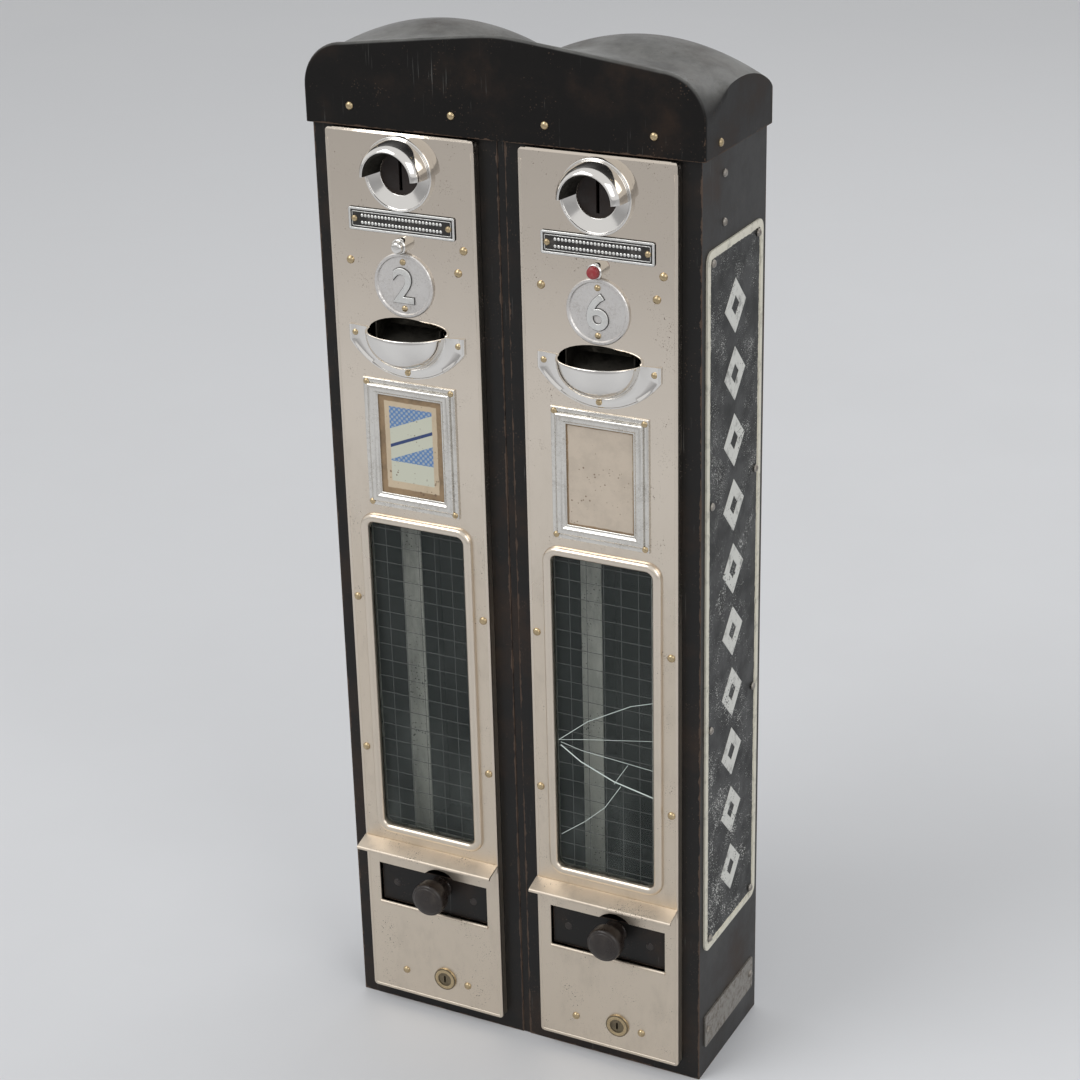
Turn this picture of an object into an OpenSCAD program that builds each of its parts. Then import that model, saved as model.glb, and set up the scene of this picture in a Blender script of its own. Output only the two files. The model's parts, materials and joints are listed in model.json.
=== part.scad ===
// Two-column coin machine: two slim cases under one hood, each with a hung front, a drawer and a lock.
// Millimetres, +Z up, fronts towards -Y, origin at the middle of the base.

/* [Columns] */
// Width of one column
column_w = 149; // [144:1:160]
// Gap between the two columns
column_gap = 6; // [5:0.5:10]
// Height of the columns up to the hood
case_h = 738; // [700:1:800]
// Depth of the columns
case_d = 114; // [108:1:140]
// Thickness of the case sheet
sheet = 1.6; // [1.2:0.1:2]
// Width of the frame that shows beside a front
face_border = 14.5; // [12:0.5:17]
// How far the columns reach up inside the hood
tenon_h = 20; // [18:1:22]
// Radius of the wall screw holes in the backs
wall_hole_r = 3.25; // [2.5:0.25:4.5]
// Height of the lower wall screw holes
wall_hole_low = 50; // [40:1:70]
// Height of the upper wall screw holes
wall_hole_high = 670; // [620:1:680]

/* [Hood] */
// Wall of the hood
hood_wall = 3.6; // [3:0.1:4.5]
// Clearance between the hood and the columns
hood_fit = 0.3; // [0.2:0.05:0.5]
// Height of the hood's sides at the front corners
eave_h = 26; // [25:0.5:34]
// Radius of the front corners
gable_r = 33; // [24:1:42]
// Rise of the gable from its rounded corners to its middle
gable_rise = 14; // [8:1:22]
// Softness of the gable's point
gable_soft = 12; // [4:1:24]
// Rise of the arch along each side
arch_rise = 19; // [12:1:24]
// Rise of the domes over the columns
dome_rise = 21; // [12:1:26]
// Depth over which the gable turns into the domes
gable_blend = 44; // [30:1:60]
// Height of the hood screws above the hood's lower edge
hood_screw_up = 14.5; // [8:0.5:16]
// Distance of the hood screws from each column's middle
hood_screw_x = 41; // [30:1:55]

/* [Fronts] */
// How far a front stands proud of the face frame
panel_proud = 8; // [7:0.5:10]
// Thickness of the front's sheet
skin = 1.2; // [1:0.1:1.5]
// Height of a front's lower edge
panel_foot = 13; // [10:1:20]
// Gap between a front's upper edge and the hood
panel_head_gap = 1; // [0.8:0.1:2]
// How far a front laps over the face frame
door_lap = 7; // [5:0.5:8]
// Gap between a front's rim and the face frame
rim_gap = 0.4; // [0.3:0.05:0.6]
// Radius of a front's corners
panel_r = 3; // [1:0.5:5]
// Distance of the pivot from a front's upper front edge
pivot_in = 3.5; // [3.2:0.1:3.8]
// Radius of the pivot pins
pivot_pin_r = 1.25; // [1:0.05:1.4]

/* [Coin entry] */
// Radius of the coin entry bezel
bezel_r = 27.5; // [24:0.5:28]
// Radius of the hole behind the bezel
coin_hole_r = 15.5; // [13:0.5:16.5]
// Length of the coin slit
slit_len = 25; // [20:0.5:28]
// Width of the coin slit
slit_w = 2.6; // [2:0.1:3.5]
// How far the visor stands out
visor_out = 20; // [14:0.5:22]
// Radius of the visor at its front
visor_r = 21; // [18:0.5:23]
// Distance from a front's upper edge to the coin entry's middle
coin_drop = 28.7; // [28.6:0.1:34]

/* [Plates and button] */
// Width of the instruction plate
label_w = 87; // [70:1:92]
// Height of the instruction plate
label_h = 17; // [12:0.5:20]
// Radius of the return button's ferrule
ferrule_r = 5.8; // [5.4:0.1:6.4]
// Radius of the return button
button_r = 4.4; // [3.8:0.1:4.6]
// Travel of the return button
button_travel = 3.5; // [2:0.25:3.5]
// Radius of the price disc
disc_r = 24.2; // [20:0.2:25]

/* [Return cup] */
// Half width of the cup's bowl
bowl_half = 34; // [28:0.5:36]
// How far the bowl stands out, and its depth
bowl_r = 24; // [18:0.5:26]
// Half width of the cup's flange across its ears
ear_half = 48; // [44:0.5:52]
// Drop from the price disc to the cup's rim
cup_drop = 14; // [12:0.5:18]
// Height of the arch above the cup's rim
cup_arch = 13; // [8:0.5:13.5]

/* [Card frame and window] */
// Width of the card frame
card_frame_w = 77; // [64:1:88]
// Height of the card frame
card_frame_h = 102; // [80:1:108]
// Width of the card frame's moulding
card_moulding = 12; // [8:0.5:14]
// Distance from a front's side to the window glass
window_margin = 19.5; // [17:0.5:26]
// Width of the raised bead round the window
bead_w = 7.5; // [5:0.5:9]
// Height of the bead
bead_h = 4; // [2.5:0.5:6]
// Thickness of the wired glass
glass_t = 4.4; // [3:0.2:4.6]

/* [Ledge, drawer and lock] */
// How far the drip ledge stands out
ledge_out = 14; // [8:0.5:18]
// Width of the drawer opening
drawer_open_w = 98; // [86:1:100]
// Height of the drawer opening
drawer_open_h = 36; // [32:0.5:40]
// Height of the drawer opening's lower edge above the front's lower edge
drawer_up = 83.5; // [80:0.5:100]
// Clearance of the drawer in its opening
drawer_fit = 1; // [0.6:0.1:1.5]
// Depth of the drawer
drawer_len = 88; // [70:1:90]
// Travel of the drawer
drawer_travel = 70; // [50:1:72]
// Radius of the drawer knob
knob_r = 14; // [11:0.5:15]
// How far the knob stands out of the drawer
knob_len = 26; // [18:0.5:28]
// Sideways place of the knob
knob_x = 6; // [-10:1:10]
// Radius of the lock's face
lock_r = 9.5; // [8.5:0.25:10]
// Sideways place of the lock
lock_x = 8; // [-15:1:15]
// Height of the lock above the front's lower edge
lock_up = 23.5; // [20:0.5:40]
// Length of the lock's cam
cam_len = 25; // [23:0.5:27]

/* [Insides] */
// Width of the packets that the magazine holds
packet_w = 72; // [60:1:74]
// Width of the lips that hold the packets
lip_w = 17; // [8:0.5:18]
// Depth of the magazine
magazine_d = 58; // [40:1:60]
// Thickness of the inner sheet
thin = 1.2; // [0.8:0.1:1.4]
// Width of a coin's path
coin_path_w = 34; // [32:0.5:36]
// Depth of the coin tube
tube_d = 14; // [12:0.5:15]
// Height of the cash box
cash_h = 76; // [50:1:80]
// Width of the cash box
cash_w = 100; // [80:1:102]

/* [Side plates] */
// Bare margin round the side sign
sign_margin = 7; // [5:0.5:12]
// Height of the sign's lower edge
sign_foot = 112; // [90:1:130]
// Distance from the hood to the sign's upper edge
sign_head = 66; // [58:1:90]
// Thickness of the side plates
sign_t = 1.4; // [1:0.1:1.8]
// Height of the small bare plate
small_plate_h = 28; // [20:1:34]
// Height of the small plate's middle
small_plate_z = 38.5; // [30:0.5:45]

/* [Hidden] */

// Round surfaces
$fn = 48;
// Running clearance of pins, plugs and stems
running = 0.05;
// Length that cutters reach past a surface
past = 1;
// Steps in the arc of a small corner
corner_steps = 6;

// Columns
column_pitch = column_w + column_gap;
left_x = -column_pitch / 2;
right_x = column_pitch / 2;
case_half = column_w / 2;
case_top = case_h + tenon_h;
inner_half = case_half - sheet;
inner_back = case_d - sheet;
machine_half = column_w + column_gap / 2;

// Fronts
panel_w = column_w - 2 * face_border;
panel_half = panel_w / 2;
panel_top = case_h - panel_head_gap;
panel_h = panel_top - panel_foot;
panel_mid = (panel_top + panel_foot) / 2;
face_y = -panel_proud;
skin_y = face_y + skin;
rim_y = -rim_gap;
opening_half = panel_half - door_lap;
opening_foot = panel_foot + door_lap;
opening_head = panel_top - door_lap;
pivot_y = face_y + pivot_in;
pivot_z = panel_top - pivot_in;
// Clearance of the swinging upper rim from the face frame
swing_fit = 0.3;
// Radius within which everything above the pivot stays, so that it swings clear of the face frame
swing_r = -pivot_y - swing_fit;
rim_cut_y = pivot_y + sqrt(swing_r * swing_r - pivot_in * pivot_in);
edge_chamfer = 1.5;
ear_r = pivot_in - skin - swing_fit;
ear_t = 2.5;
ear_gap = 0.7;
ear_x1 = panel_half - skin - ear_gap;
ear_x0 = ear_x1 - ear_t;

// Heights on a front, stacked down from its upper edge
coin_z = panel_top - coin_drop;
label_gap = 0.3;
label_z = coin_z - bezel_r - label_gap - label_h / 2;
label_t = 1.2;
ferrule_gap = 1.5;
button_z = label_z - label_h / 2 - ferrule_gap - ferrule_r;
disc_gap = 0.2;
disc_z = button_z - ferrule_r - disc_gap - disc_r;
disc_t = 1.4;
disc_rim_h = 2.4;
disc_rim_w = 2.2;
cup_z = disc_z - disc_r - cup_drop;
cup_t = 1.5;
ear_up = 3.5;
ear_h = 12;
arch_inset = 1.5;
mouth_inset = 2.5;
mouth_lift = 4;
flange_below = 9;
cup_foot = cup_z - bowl_r - flange_below;
card_gap = 3.5;
card_z = cup_foot - card_gap - card_frame_h / 2;
card_base_t = 2.2;
card_step_t = 4.6;
card_rebate = 2;
card_t = 0.8;

// Heights on a front, stacked up from its lower edge
lock_z = panel_foot + lock_up;
drawer_z0 = panel_foot + drawer_up;
drawer_z1 = drawer_z0 + drawer_open_h;
ledge_up = 24;
ledge_z = drawer_z1 + ledge_up;
ledge_drop = 4;
ledge_t = 1.4;
ledge_leg = 7;
ledge_hem = 2.6;

// The window fills what is left between the card frame and the ledge
window_half = panel_half - window_margin;
window_gap = 7.6;
window_top = card_z - card_frame_h / 2 - window_gap - bead_w;
window_foot = ledge_z + window_gap + bead_w;
window_h = window_top - window_foot;
window_mid = (window_top + window_foot) / 2;
window_r = 5;
bead_edge = 0.5;
crown_edge = 2;
bead_step = 0.45 * bead_h;
bead_top = 0.9 * bead_h;
glass_lap = 4.5;
glass_y1 = skin_y + glass_t;
retainer_y1 = glass_y1 + thin;
window_rivet_x = panel_half - 5.2;

// Drawer and knob
drawer_half = drawer_open_w / 2 - drawer_fit;
drawer_low = drawer_z0 + drawer_fit + 0.2;
drawer_high = drawer_z1 - drawer_fit - 0.2;
drawer_wall = 1.2;
drawer_front_t = 1.6;
drawer_recess = 3;
drawer_y0 = face_y + drawer_recess;
drawer_y1 = drawer_y0 + drawer_len;
knob_z = drawer_high - 10;
knob_notch_r = knob_r + 3;
knob_neck_r = knob_r * 0.6;
knob_screw_r = 2;
knob_face_y = drawer_y0 - knob_len;
shelf_gap = 0.3;
shelf_top = drawer_low - shelf_gap;
shelf_lip = 18;
guide_gap = 0.4;
guide_h = 10;
guide_back = 4;

// Front-most point and the shift that puts the origin at the middle of the base
front_y = min(knob_face_y, face_y - visor_out, face_y - bowl_r);
mid_y = (front_y + case_d) / 2;

// Coin chute behind the coin entry
chute_half = 27.2;
chute_back = 13.2;
chute_top = coin_z + 19;
coin_plate_r = 17.5;
coin_plate_t = 2;
chute_fall = 15;
lever_y = 5;
lever_z = button_z - 27;
lever_half = 8;
lever_hub_r = 3;
lever_pin_r = 1.5;
lever_t = 1.5;
lever_foot = 22;
lever_tab = 2;
outlet_h = 14;
outlet_z = cup_z + 12;

// Return button, from its cap to its stem
bush_barrel_r = ferrule_r - 0.6;
cap_proud = 8;
ferrule_h = 3;
cap_guide = 2.5;
cap_y0 = face_y - ferrule_h - cap_proud;
cap_y1 = face_y - ferrule_h + cap_guide;
bush_y1 = -1.8;
bush_floor = 1.4;
stem_r = 1.9;
clip_r = 2.8;
clip_t = 0.6;
clip_gap = 0.1;
stem_end = bush_y1 + clip_gap + clip_t + 0.1;
lever_gap = 0.4;
spring_wall = 1;

// Lock
plug_r = 5.5;
barrel_r = lock_r - 1.5;
lock_face_h = 1.8;
barrel_y1 = 3;
cam_y0 = barrel_y1 + 0.3;
cam_t = 2;
cam_half = 5;
keyway_w = 1.6;
keyway_len = 6;
keyway_depth = 3;

// Magazine, coin tube and cash box
magazine_y0 = inner_back - tube_d - magazine_d - 8;
magazine_y1 = magazine_y0 + magazine_d;
magazine_half = packet_w / 2 + 0.5 + thin;
magazine_foot = drawer_high + 8;
magazine_top = cup_z - 30;
stay_w = 12;
stay_h = 20;
tube_y0 = inner_back - tube_d;
tube_half = coin_path_w / 2 + thin;
ramp_y0 = chute_back + 3;
ramp_z0 = outlet_z - 4;
ramp_fall = 30;
ramp_wall = 10;
tube_top = ramp_z0 - ramp_fall + ramp_wall;
cash_y0 = 22;
cash_y1 = inner_back - 6;

// Hood
hood_half = machine_half + hood_fit + hood_wall;
hood_y0 = -hood_fit - hood_wall;
hood_y1 = case_d;
hood_depth = hood_y1 - hood_y0;
eave_z = case_h + eave_h;
flat_half = hood_half - gable_r;
cavity_z = case_top + hood_fit;
corner_n = 6;
flat_n = 12;
depth_n = 12;
hood_side_screw_y = 22;
hood_side_screw_up = 8;

// Fasteners
rivet_r = 2.4;
rivet_h = 1.6;
front_rivet_r = 3.1;
front_rivet_h = 2.1;
rivet_shank_r = 1.2;
tail_r = 1.8;
tail_h = 0.7;
screw_r = 3;
screw_h = 2;
screw_shank_r = 1.5;
screw_grip = 5;
bolt_r = 2.5;
bolt_head_r = 4.5;
bolt_head_h = 3.5;
bolt_y = 14;
bolt_foot = 60;
bolt_drop = 40;
bolt_heights = [bolt_foot, case_h / 2, case_h - bolt_drop];
badge_rivet_x = 44.5;
badge_rivet_up = 14;
lone_rivet_x = 49.5;
lone_rivet_up = 31;
lock_rivet_x = 28.5;
lock_rivet_down = 1.5;
label_rivet_in = 5;
card_rivet_in = 3;
ear_rivet_in = 5;
cup_rivet_up = 4.5;
spacer_d = 26;
spacer_set = 0.6;

// Side plates
sign_y0 = sign_margin;
sign_y1 = case_d - sign_margin;
sign_top = case_h - sign_head;
sign_mid = (sign_top + sign_foot) / 2;
sign_h = sign_top - sign_foot;
sign_w = sign_y1 - sign_y0;
sign_r = 8;
sign_border = 5;
sign_border_h = 0.5;
sign_screw_in = 9.5;
sign_rows = 4;
small_plate_w = sign_w - 4;
side_screw_y = 38.5;
side_screw_drops = [17.5, 52];
stud_y = 12;
stud_z = window_mid - window_h / 4;

// Corner points of a rectangle with rounded corners, about its middle
function round_rect(w, h, r) = [
    for (q = [0:3])
        for (i = [0:corner_steps])
            let (
                a = 90 * q + 90 * i / corner_steps,
                cx = (q == 0 || q == 3 ? 1 : -1) * (w / 2 - r),
                cz = (q < 2 ? 1 : -1) * (h / 2 - r)
            )
            [cx + r * cos(a), cz + r * sin(a)]
];

// Points along part of an ellipse with half axes a and b
function ellipse_arc(a, b, from, to, steps) = [
    for (i = [0:steps])
        let (t = from + (to - from) * i / steps)
        [a * cos(t), b * sin(t)]
];

// The same points about another middle
function moved(points, dx, dz) = [for (p = points) [p[0] + dx, p[1] + dz]];

// Outline on X and Z, extruded from y0 to y1
module front_plate(points, y0, y1) {
    translate([0, y1, 0])
        rotate([90, 0, 0])
            linear_extrude(y1 - y0)
                polygon(points);
}

// Outline on Y and Z, extruded from x0 to x1
module side_plate(points, x0, x1) {
    translate([x0, 0, 0])
        rotate([90, 0, 90])
            linear_extrude(x1 - x0)
                polygon(points);
}

// Box from one corner to the other
module block(low, high) {
    translate(low)
        cube([high[0] - low[0], high[1] - low[1], high[2] - low[2]]);
}

// Places a turned shape on a front, with its axis pointing out towards -Y
module facing_out(x, y, z) {
    translate([x, y, z])
        rotate([90, 0, 0])
            children();
}

// Round bar along Y from y0 to y1
module rod_y(x, z, r, y0, y1) {
    facing_out(x, y1, z)
        cylinder(r = r, h = y1 - y0);
}

// Round bar along X from x0 to x1
module rod_x(y, z, r, x0, x1) {
    translate([x0, y, z])
        rotate([0, 90, 0])
            cylinder(r = r, h = x1 - x0);
}

// Domed head on z = 0 with a shank and an upset tail below it
module domed_pin(head_r, head_h, shank_r, grip, end_r, end_h) {
    rotate_extrude()
        polygon(concat(
            [[0, -grip - end_h], [end_r, -grip - end_h], [end_r, -grip], [shank_r, -grip], [shank_r, 0]],
            [for (t = [0:15:90]) [head_r * cos(t), head_h * sin(t)]]
        ));
}

// Rivet with its head on a seat that is `seat` proud of a front's face
module rivet(x, z, seat, grip, head_r, head_h) {
    facing_out(x, face_y - seat, z)
        domed_pin(head_r, head_h, rivet_shank_r, grip, tail_r, tail_h);
}

// Round-headed screw with its head on z = 0
module round_screw() {
    domed_pin(screw_r, screw_h, screw_shank_r, screw_grip - 1, screw_shank_r, 1);
}

// Turns children so that they point out of the right side, or of the left one
module out_of_side(side, y, z, offset) {
    translate([side * (machine_half + offset), y, z])
        rotate([0, side * 90, 0])
            children();
}

// Moves a piece from the face frame's coordinates to the part's origin
module placed() {
    translate([0, -mid_y, 0])
        children();
}

// Places of the fasteners on a front: x, z, how proud the seat is, and the grip
function panel_rivets() = concat(
    [for (s = [-1, 1]) [s * badge_rivet_x, disc_z + badge_rivet_up, 0, skin]],
    [[lone_rivet_x, disc_z + lone_rivet_up, 0, skin]],
    [for (s = [-1, 1]) for (k = [-1, 1])
        [s * window_rivet_x, window_mid + k * window_h / 4, 0, retainer_y1 - face_y]],
    [for (s = [-1, 1]) [s * lock_rivet_x, lock_z - lock_rivet_down, 0, skin]]
);
function seat_rivets() = concat(
    [for (s = [-1, 1]) [s * (label_w / 2 - label_rivet_in), label_z, label_t, skin + label_t]],
    [for (s = [-1, 1]) for (k = [-1, 1])
        [s * (card_frame_w / 2 - card_rivet_in), card_z + k * (card_frame_h / 2 - card_rivet_in),
         card_base_t, skin + card_base_t]],
    [for (k = [-1, 1]) [0, disc_z + k * disc_r * 0.72, disc_t, skin + disc_t]],
    [for (s = [-1, 1]) [s * (ear_half - ear_rivet_in), cup_z + ear_up - ear_h / 2, cup_t, skin + cup_t]],
    [[0, cup_foot + cup_rivet_up, cup_t, skin + cup_t]]
);

// Places of the fasteners on the sides: side, y, z, how proud the seat is
function sign_screws() = [
    for (y = [sign_y0 + sign_screw_in, sign_y1 - sign_screw_in])
        for (k = [0:sign_rows - 1])
            [1, y, sign_foot + sign_screw_in + k * (sign_h - 2 * sign_screw_in) / (sign_rows - 1), sign_t]
];
function small_plate_rivets() = [
    for (y = [case_d / 2 - small_plate_w / 2 + 5, case_d / 2 + small_plate_w / 2 - 5])
        [1, y, small_plate_z, sign_t]
];
function side_studs() = concat(
    [for (s = [-1, 1]) for (d = side_screw_drops) [s, side_screw_y, case_h - d, 0]],
    [[-1, stud_y, stud_z, 0]]
);
function side_fasteners() = concat(sign_screws(), small_plate_rivets(), side_studs());

// Hood screws: x on the front, and one on each side
function hood_screw_xs() = [for (x = [left_x, right_x]) for (s = [-1, 1]) x + s * hood_screw_x];

// Sheet case of one column with its face frame
module case_shell(x) {
    color("#1c1a19")
    difference() {
        block([x - case_half, 0, 0], [x + case_half, case_d, case_top]);
        block([x - inner_half, sheet, sheet], [x + inner_half, inner_back, case_top - sheet]);
        block([x - opening_half, -past, opening_foot], [x + opening_half, sheet + past, opening_head]);
        for (z = [wall_hole_low, wall_hole_high])
            rod_y(x, z, wall_hole_r, inner_back - past, case_d + past);
        for (s = [-1, 1])
            rod_y(x + s * hood_screw_x, case_h + hood_screw_up, screw_shank_r + running, -past, sheet + past);
        for (f = side_fasteners())
            if (sign(f[0]) == sign(x))
                rod_x(f[1], f[2], screw_shank_r + running, f[0] * machine_half - 3, f[0] * machine_half + 3);
        rod_x(hood_side_screw_y, case_h + hood_side_screw_up, screw_shank_r + running,
              sign(x) * machine_half - 3, sign(x) * machine_half + 3);
        for (z = bolt_heights)
            rod_x(bolt_y, z, bolt_r + running, -column_gap / 2 - sheet - past, column_gap / 2 + sheet + past);
    }
}

// Strip that fills the gap between the columns
module column_spacer() {
    color("#241f1d")
    difference() {
        block([-column_gap / 2, spacer_set, 0], [column_gap / 2, spacer_set + spacer_d, case_h]);
        for (z = bolt_heights)
            rod_x(bolt_y, z, bolt_r + running, -column_gap, column_gap);
    }
}

// Bolts and nuts that draw the two columns together
module joining_bolts() {
    reach = column_gap / 2 + sheet;
    color("#8a8a86")
    for (z = bolt_heights) {
        rod_x(bolt_y, z, bolt_r, -reach, reach + bolt_head_h + 1);
        rod_x(bolt_y, z, bolt_head_r, -reach - bolt_head_h, -reach);
        difference() {
            translate([reach, bolt_y, z])
                rotate([0, 90, 0])
                    cylinder(r = bolt_head_r, h = bolt_head_h, $fn = 6);
            rod_x(bolt_y, z, bolt_r + running, reach - past, reach + bolt_head_h + past);
        }
    }
}

// Height of the hood's front outline: rounded corners and a soft gable
function gable(x) =
    let (
        a = abs(x),
        slope = sqrt(x * x + gable_soft * gable_soft) - gable_soft,
        slope_end = sqrt(flat_half * flat_half + gable_soft * gable_soft) - gable_soft
    )
    a > flat_half
        ? eave_z + sqrt(max(0, gable_r * gable_r - (a - flat_half) * (a - flat_half)))
        : eave_z + gable_r + gable_rise * (1 - slope / slope_end);

// Height of the hood's sides, an arch from front to back
function side_arch(y) =
    let (u = (2 * y - hood_y0 - hood_y1) / hood_depth)
    eave_z + arch_rise * pow(max(0, 1 - u * u), 0.75);

// Rise of the two domes across the hood
function domes(x) =
    let (u = 2 * abs(x) / hood_half - 1)
    dome_rise * (1 - u * u);

// Height of the hood: the gable in front, blended into the arched domes behind it
function roof(x, y) =
    let (
        u = min(1, (y - hood_y0) / gable_blend),
        b = u * u * (3 - 2 * u)
    )
    (1 - b) * gable(x) + b * (side_arch(y) + domes(x));

// Places across the hood, from -1 to 1, close together at its rounded corners
function hood_across() =
    let (corner = [for (k = [1:corner_n]) (flat_half + gable_r * sin(90 * k / corner_n)) / hood_half])
    concat(
        [for (k = [corner_n - 1:-1:0]) -corner[k]],
        [for (k = [-flat_n:flat_n]) k / flat_n * flat_half / hood_half],
        corner
    );

// Points of the hood's curved top over a block of the given half width, lowered by `drop`
function roof_points(half, y0, y1, drop) = [
    for (u = hood_across())
        for (k = [0:depth_n])
            [u * half, y0 + (y1 - y0) * k / depth_n, roof(u * hood_half, hood_y0 + hood_depth * k / depth_n) - drop]
];

// Hood over both columns: gabled front, domed top, open below and behind for the columns
module hood() {
    pocket = machine_half + hood_fit;
    outer = roof_points(hood_half, hood_y0, hood_y1, 0);
    inner = roof_points(pocket, -hood_fit, hood_y1 - hood_wall, hood_wall);
    nu = len(hood_across());
    nv = depth_n + 1;
    loop = concat(
        [for (i = [0:nu - 1]) i * nv],
        [for (j = [1:nv - 1]) (nu - 1) * nv + j],
        [for (i = [nu - 2:-1:0]) i * nv + nv - 1],
        [for (j = [nv - 2:-1:1]) j]
    );
    n = len(loop);
    m = nu * nv;
    rim = concat(
        [for (k = loop) [outer[k][0], outer[k][1], case_h]],
        [for (k = loop) [inner[k][0], inner[k][1], case_h]]
    );
    cells = [for (i = [0:nu - 2]) for (j = [0:nv - 2]) i * nv + j];
    faces = concat(
        [for (c = cells) [c, c + 1, c + nv + 1]],
        [for (c = cells) [c, c + nv + 1, c + nv]],
        [for (c = cells) [m + c, m + c + nv + 1, m + c + 1]],
        [for (c = cells) [m + c, m + c + nv, m + c + nv + 1]],
        [for (k = [0:n - 1]) let (q = (k + 1) % n) [loop[k], loop[q], 2 * m + q, 2 * m + k]],
        [for (k = [0:n - 1]) let (q = (k + 1) % n) [m + loop[q], m + loop[k], 2 * m + n + k, 2 * m + n + q]],
        [for (k = [0:n - 1]) let (q = (k + 1) % n) [2 * m + k, 2 * m + q, 2 * m + n + q, 2 * m + n + k]]
    );
    color("#222120")
    difference() {
        polyhedron(concat(outer, inner, rim), faces);
        block([-pocket, hood_y1 - hood_wall - past, case_h - past], [pocket, hood_y1 + past, cavity_z]);
        for (x = hood_screw_xs())
            rod_y(x, case_h + hood_screw_up, screw_shank_r + running, hood_y0 - past, past);
        for (s = [-1, 1])
            rod_x(hood_side_screw_y, case_h + hood_side_screw_up, screw_shank_r + running,
                  s * machine_half - 6, s * machine_half + 6);
    }
}

// Round-headed screws that hold the hood
module hood_screws() {
    color("#b9a878") {
        for (x = hood_screw_xs())
            facing_out(x, hood_y0, case_h + hood_screw_up)
                round_screw();
        for (s = [-1, 1])
            out_of_side(s, hood_side_screw_y, case_h + hood_side_screw_up, hood_fit + hood_wall)
                round_screw();
    }
}

// Sign plate on the right side: a plain field inside a raised border
module sign_plate() {
    field = round_rect(sign_w, sign_h, sign_r);
    inner = round_rect(sign_w - 2 * sign_border, sign_h - 2 * sign_border, sign_r - sign_border / 2);
    color("#2a2a28")
    difference() {
        side_plate(moved(field, case_d / 2, sign_mid), machine_half, machine_half + sign_t);
        side_plate(moved(inner, case_d / 2, sign_mid),
                   machine_half + sign_t - sign_border_h, machine_half + sign_t + past);
        for (f = sign_screws())
            rod_x(f[1], f[2], screw_shank_r + running, machine_half - past, machine_half + sign_t + past);
    }
}

// Small bare plate low on the right side
module small_plate() {
    color("#4a443c")
    difference() {
        side_plate(moved(round_rect(small_plate_w, small_plate_h, 2), case_d / 2, small_plate_z),
                   machine_half, machine_half + sign_t);
        for (f = small_plate_rivets())
            rod_x(f[1], f[2], screw_shank_r + running, machine_half - past, machine_half + sign_t + past);
    }
}

// Screws, rivets and studs on the sides
module side_screws() {
    color("#7d7566")
    for (f = side_fasteners())
        out_of_side(f[0], f[1], f[2], f[3])
            round_screw();
}

// Ears on the face frames whose pins carry the two fronts
module door_pivots() {
    color("#6f6c66")
    for (x = [left_x, right_x])
        for (s = [-1, 1]) {
            low = x + (s > 0 ? ear_x0 : -ear_x1);
            rod_x(pivot_y, pivot_z, ear_r, low, low + ear_t);
            block([low, pivot_y, pivot_z - ear_r], [low + ear_t, 0, pivot_z + ear_r]);
            rod_x(pivot_y, pivot_z, pivot_pin_r,
                  x + (s > 0 ? ear_x0 : -panel_half), x + (s > 0 ? panel_half : -ear_x0));
        }
}

// Packet magazine: two lipped guides on a back plate, stayed to the case's back
module magazine(x) {
    color("#aeb0a8")
    difference() {
        union() {
            block([x - magazine_half, magazine_y0, magazine_foot], [x + magazine_half, magazine_y1, magazine_top]);
            for (s = [-1, 1])
                for (z = [magazine_foot + 30, magazine_top - 30 - stay_h])
                    block([x + s * (magazine_half - stay_w / 2) - stay_w / 2, magazine_y1, z],
                          [x + s * (magazine_half - stay_w / 2) + stay_w / 2, inner_back, z + stay_h]);
        }
        block([x - magazine_half + thin, magazine_y0 + thin, magazine_foot - past],
              [x + magazine_half - thin, magazine_y1 - thin, magazine_top + past]);
        block([x - magazine_half + lip_w, magazine_y0 - past, magazine_foot - past],
              [x + magazine_half - lip_w, magazine_y0 + thin + past, magazine_top + past]);
    }
}

// Shelf that the drawer runs on, with a guide each side and a slot for coins behind
module drawer_shelf(x) {
    color("#8f8f89")
    difference() {
        union() {
            block([x - inner_half, magazine_y0 - shelf_lip, shelf_top - sheet], [x + inner_half, inner_back, shelf_top]);
            for (s = [-1, 1])
                block([x + s * (drawer_half + guide_gap + thin / 2) - thin / 2, magazine_y0 - shelf_lip, shelf_top],
                      [x + s * (drawer_half + guide_gap + thin / 2) + thin / 2, tube_y0 - guide_back, shelf_top + guide_h]);
        }
        block([x - coin_path_w / 2, tube_y0 + thin, shelf_top - sheet - past],
              [x + coin_path_w / 2, inner_back - thin, shelf_top + past]);
    }
}

// Coin ramp over the magazine and the tube down to the cash box
module coin_tube(x) {
    ramp_end = tube_y0 + thin;
    ramp_low = ramp_z0 - ramp_fall;
    floor_line = [[ramp_y0, ramp_z0], [ramp_end, ramp_low], [ramp_end, ramp_low - thin], [ramp_y0, ramp_z0 - thin]];
    wall_line = [[ramp_y0, ramp_z0 + ramp_wall], [ramp_end, ramp_low + ramp_wall],
                 [ramp_end, ramp_low - thin], [ramp_y0, ramp_z0 - thin]];
    color("#9a9a92") {
        difference() {
            block([x - tube_half, tube_y0, shelf_top], [x + tube_half, inner_back, tube_top]);
            block([x - tube_half + thin, tube_y0 + thin, shelf_top - past],
                  [x + tube_half - thin, inner_back - thin, tube_top + past]);
            block([x - tube_half + thin, tube_y0 - past, ramp_low],
                  [x + tube_half - thin, tube_y0 + thin + past, tube_top + past]);
        }
        side_plate(floor_line, x - tube_half, x + tube_half);
        for (s = [-1, 1])
            side_plate(wall_line, x + s * (tube_half - thin / 2) - thin / 2, x + s * (tube_half - thin / 2) + thin / 2);
    }
}

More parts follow.
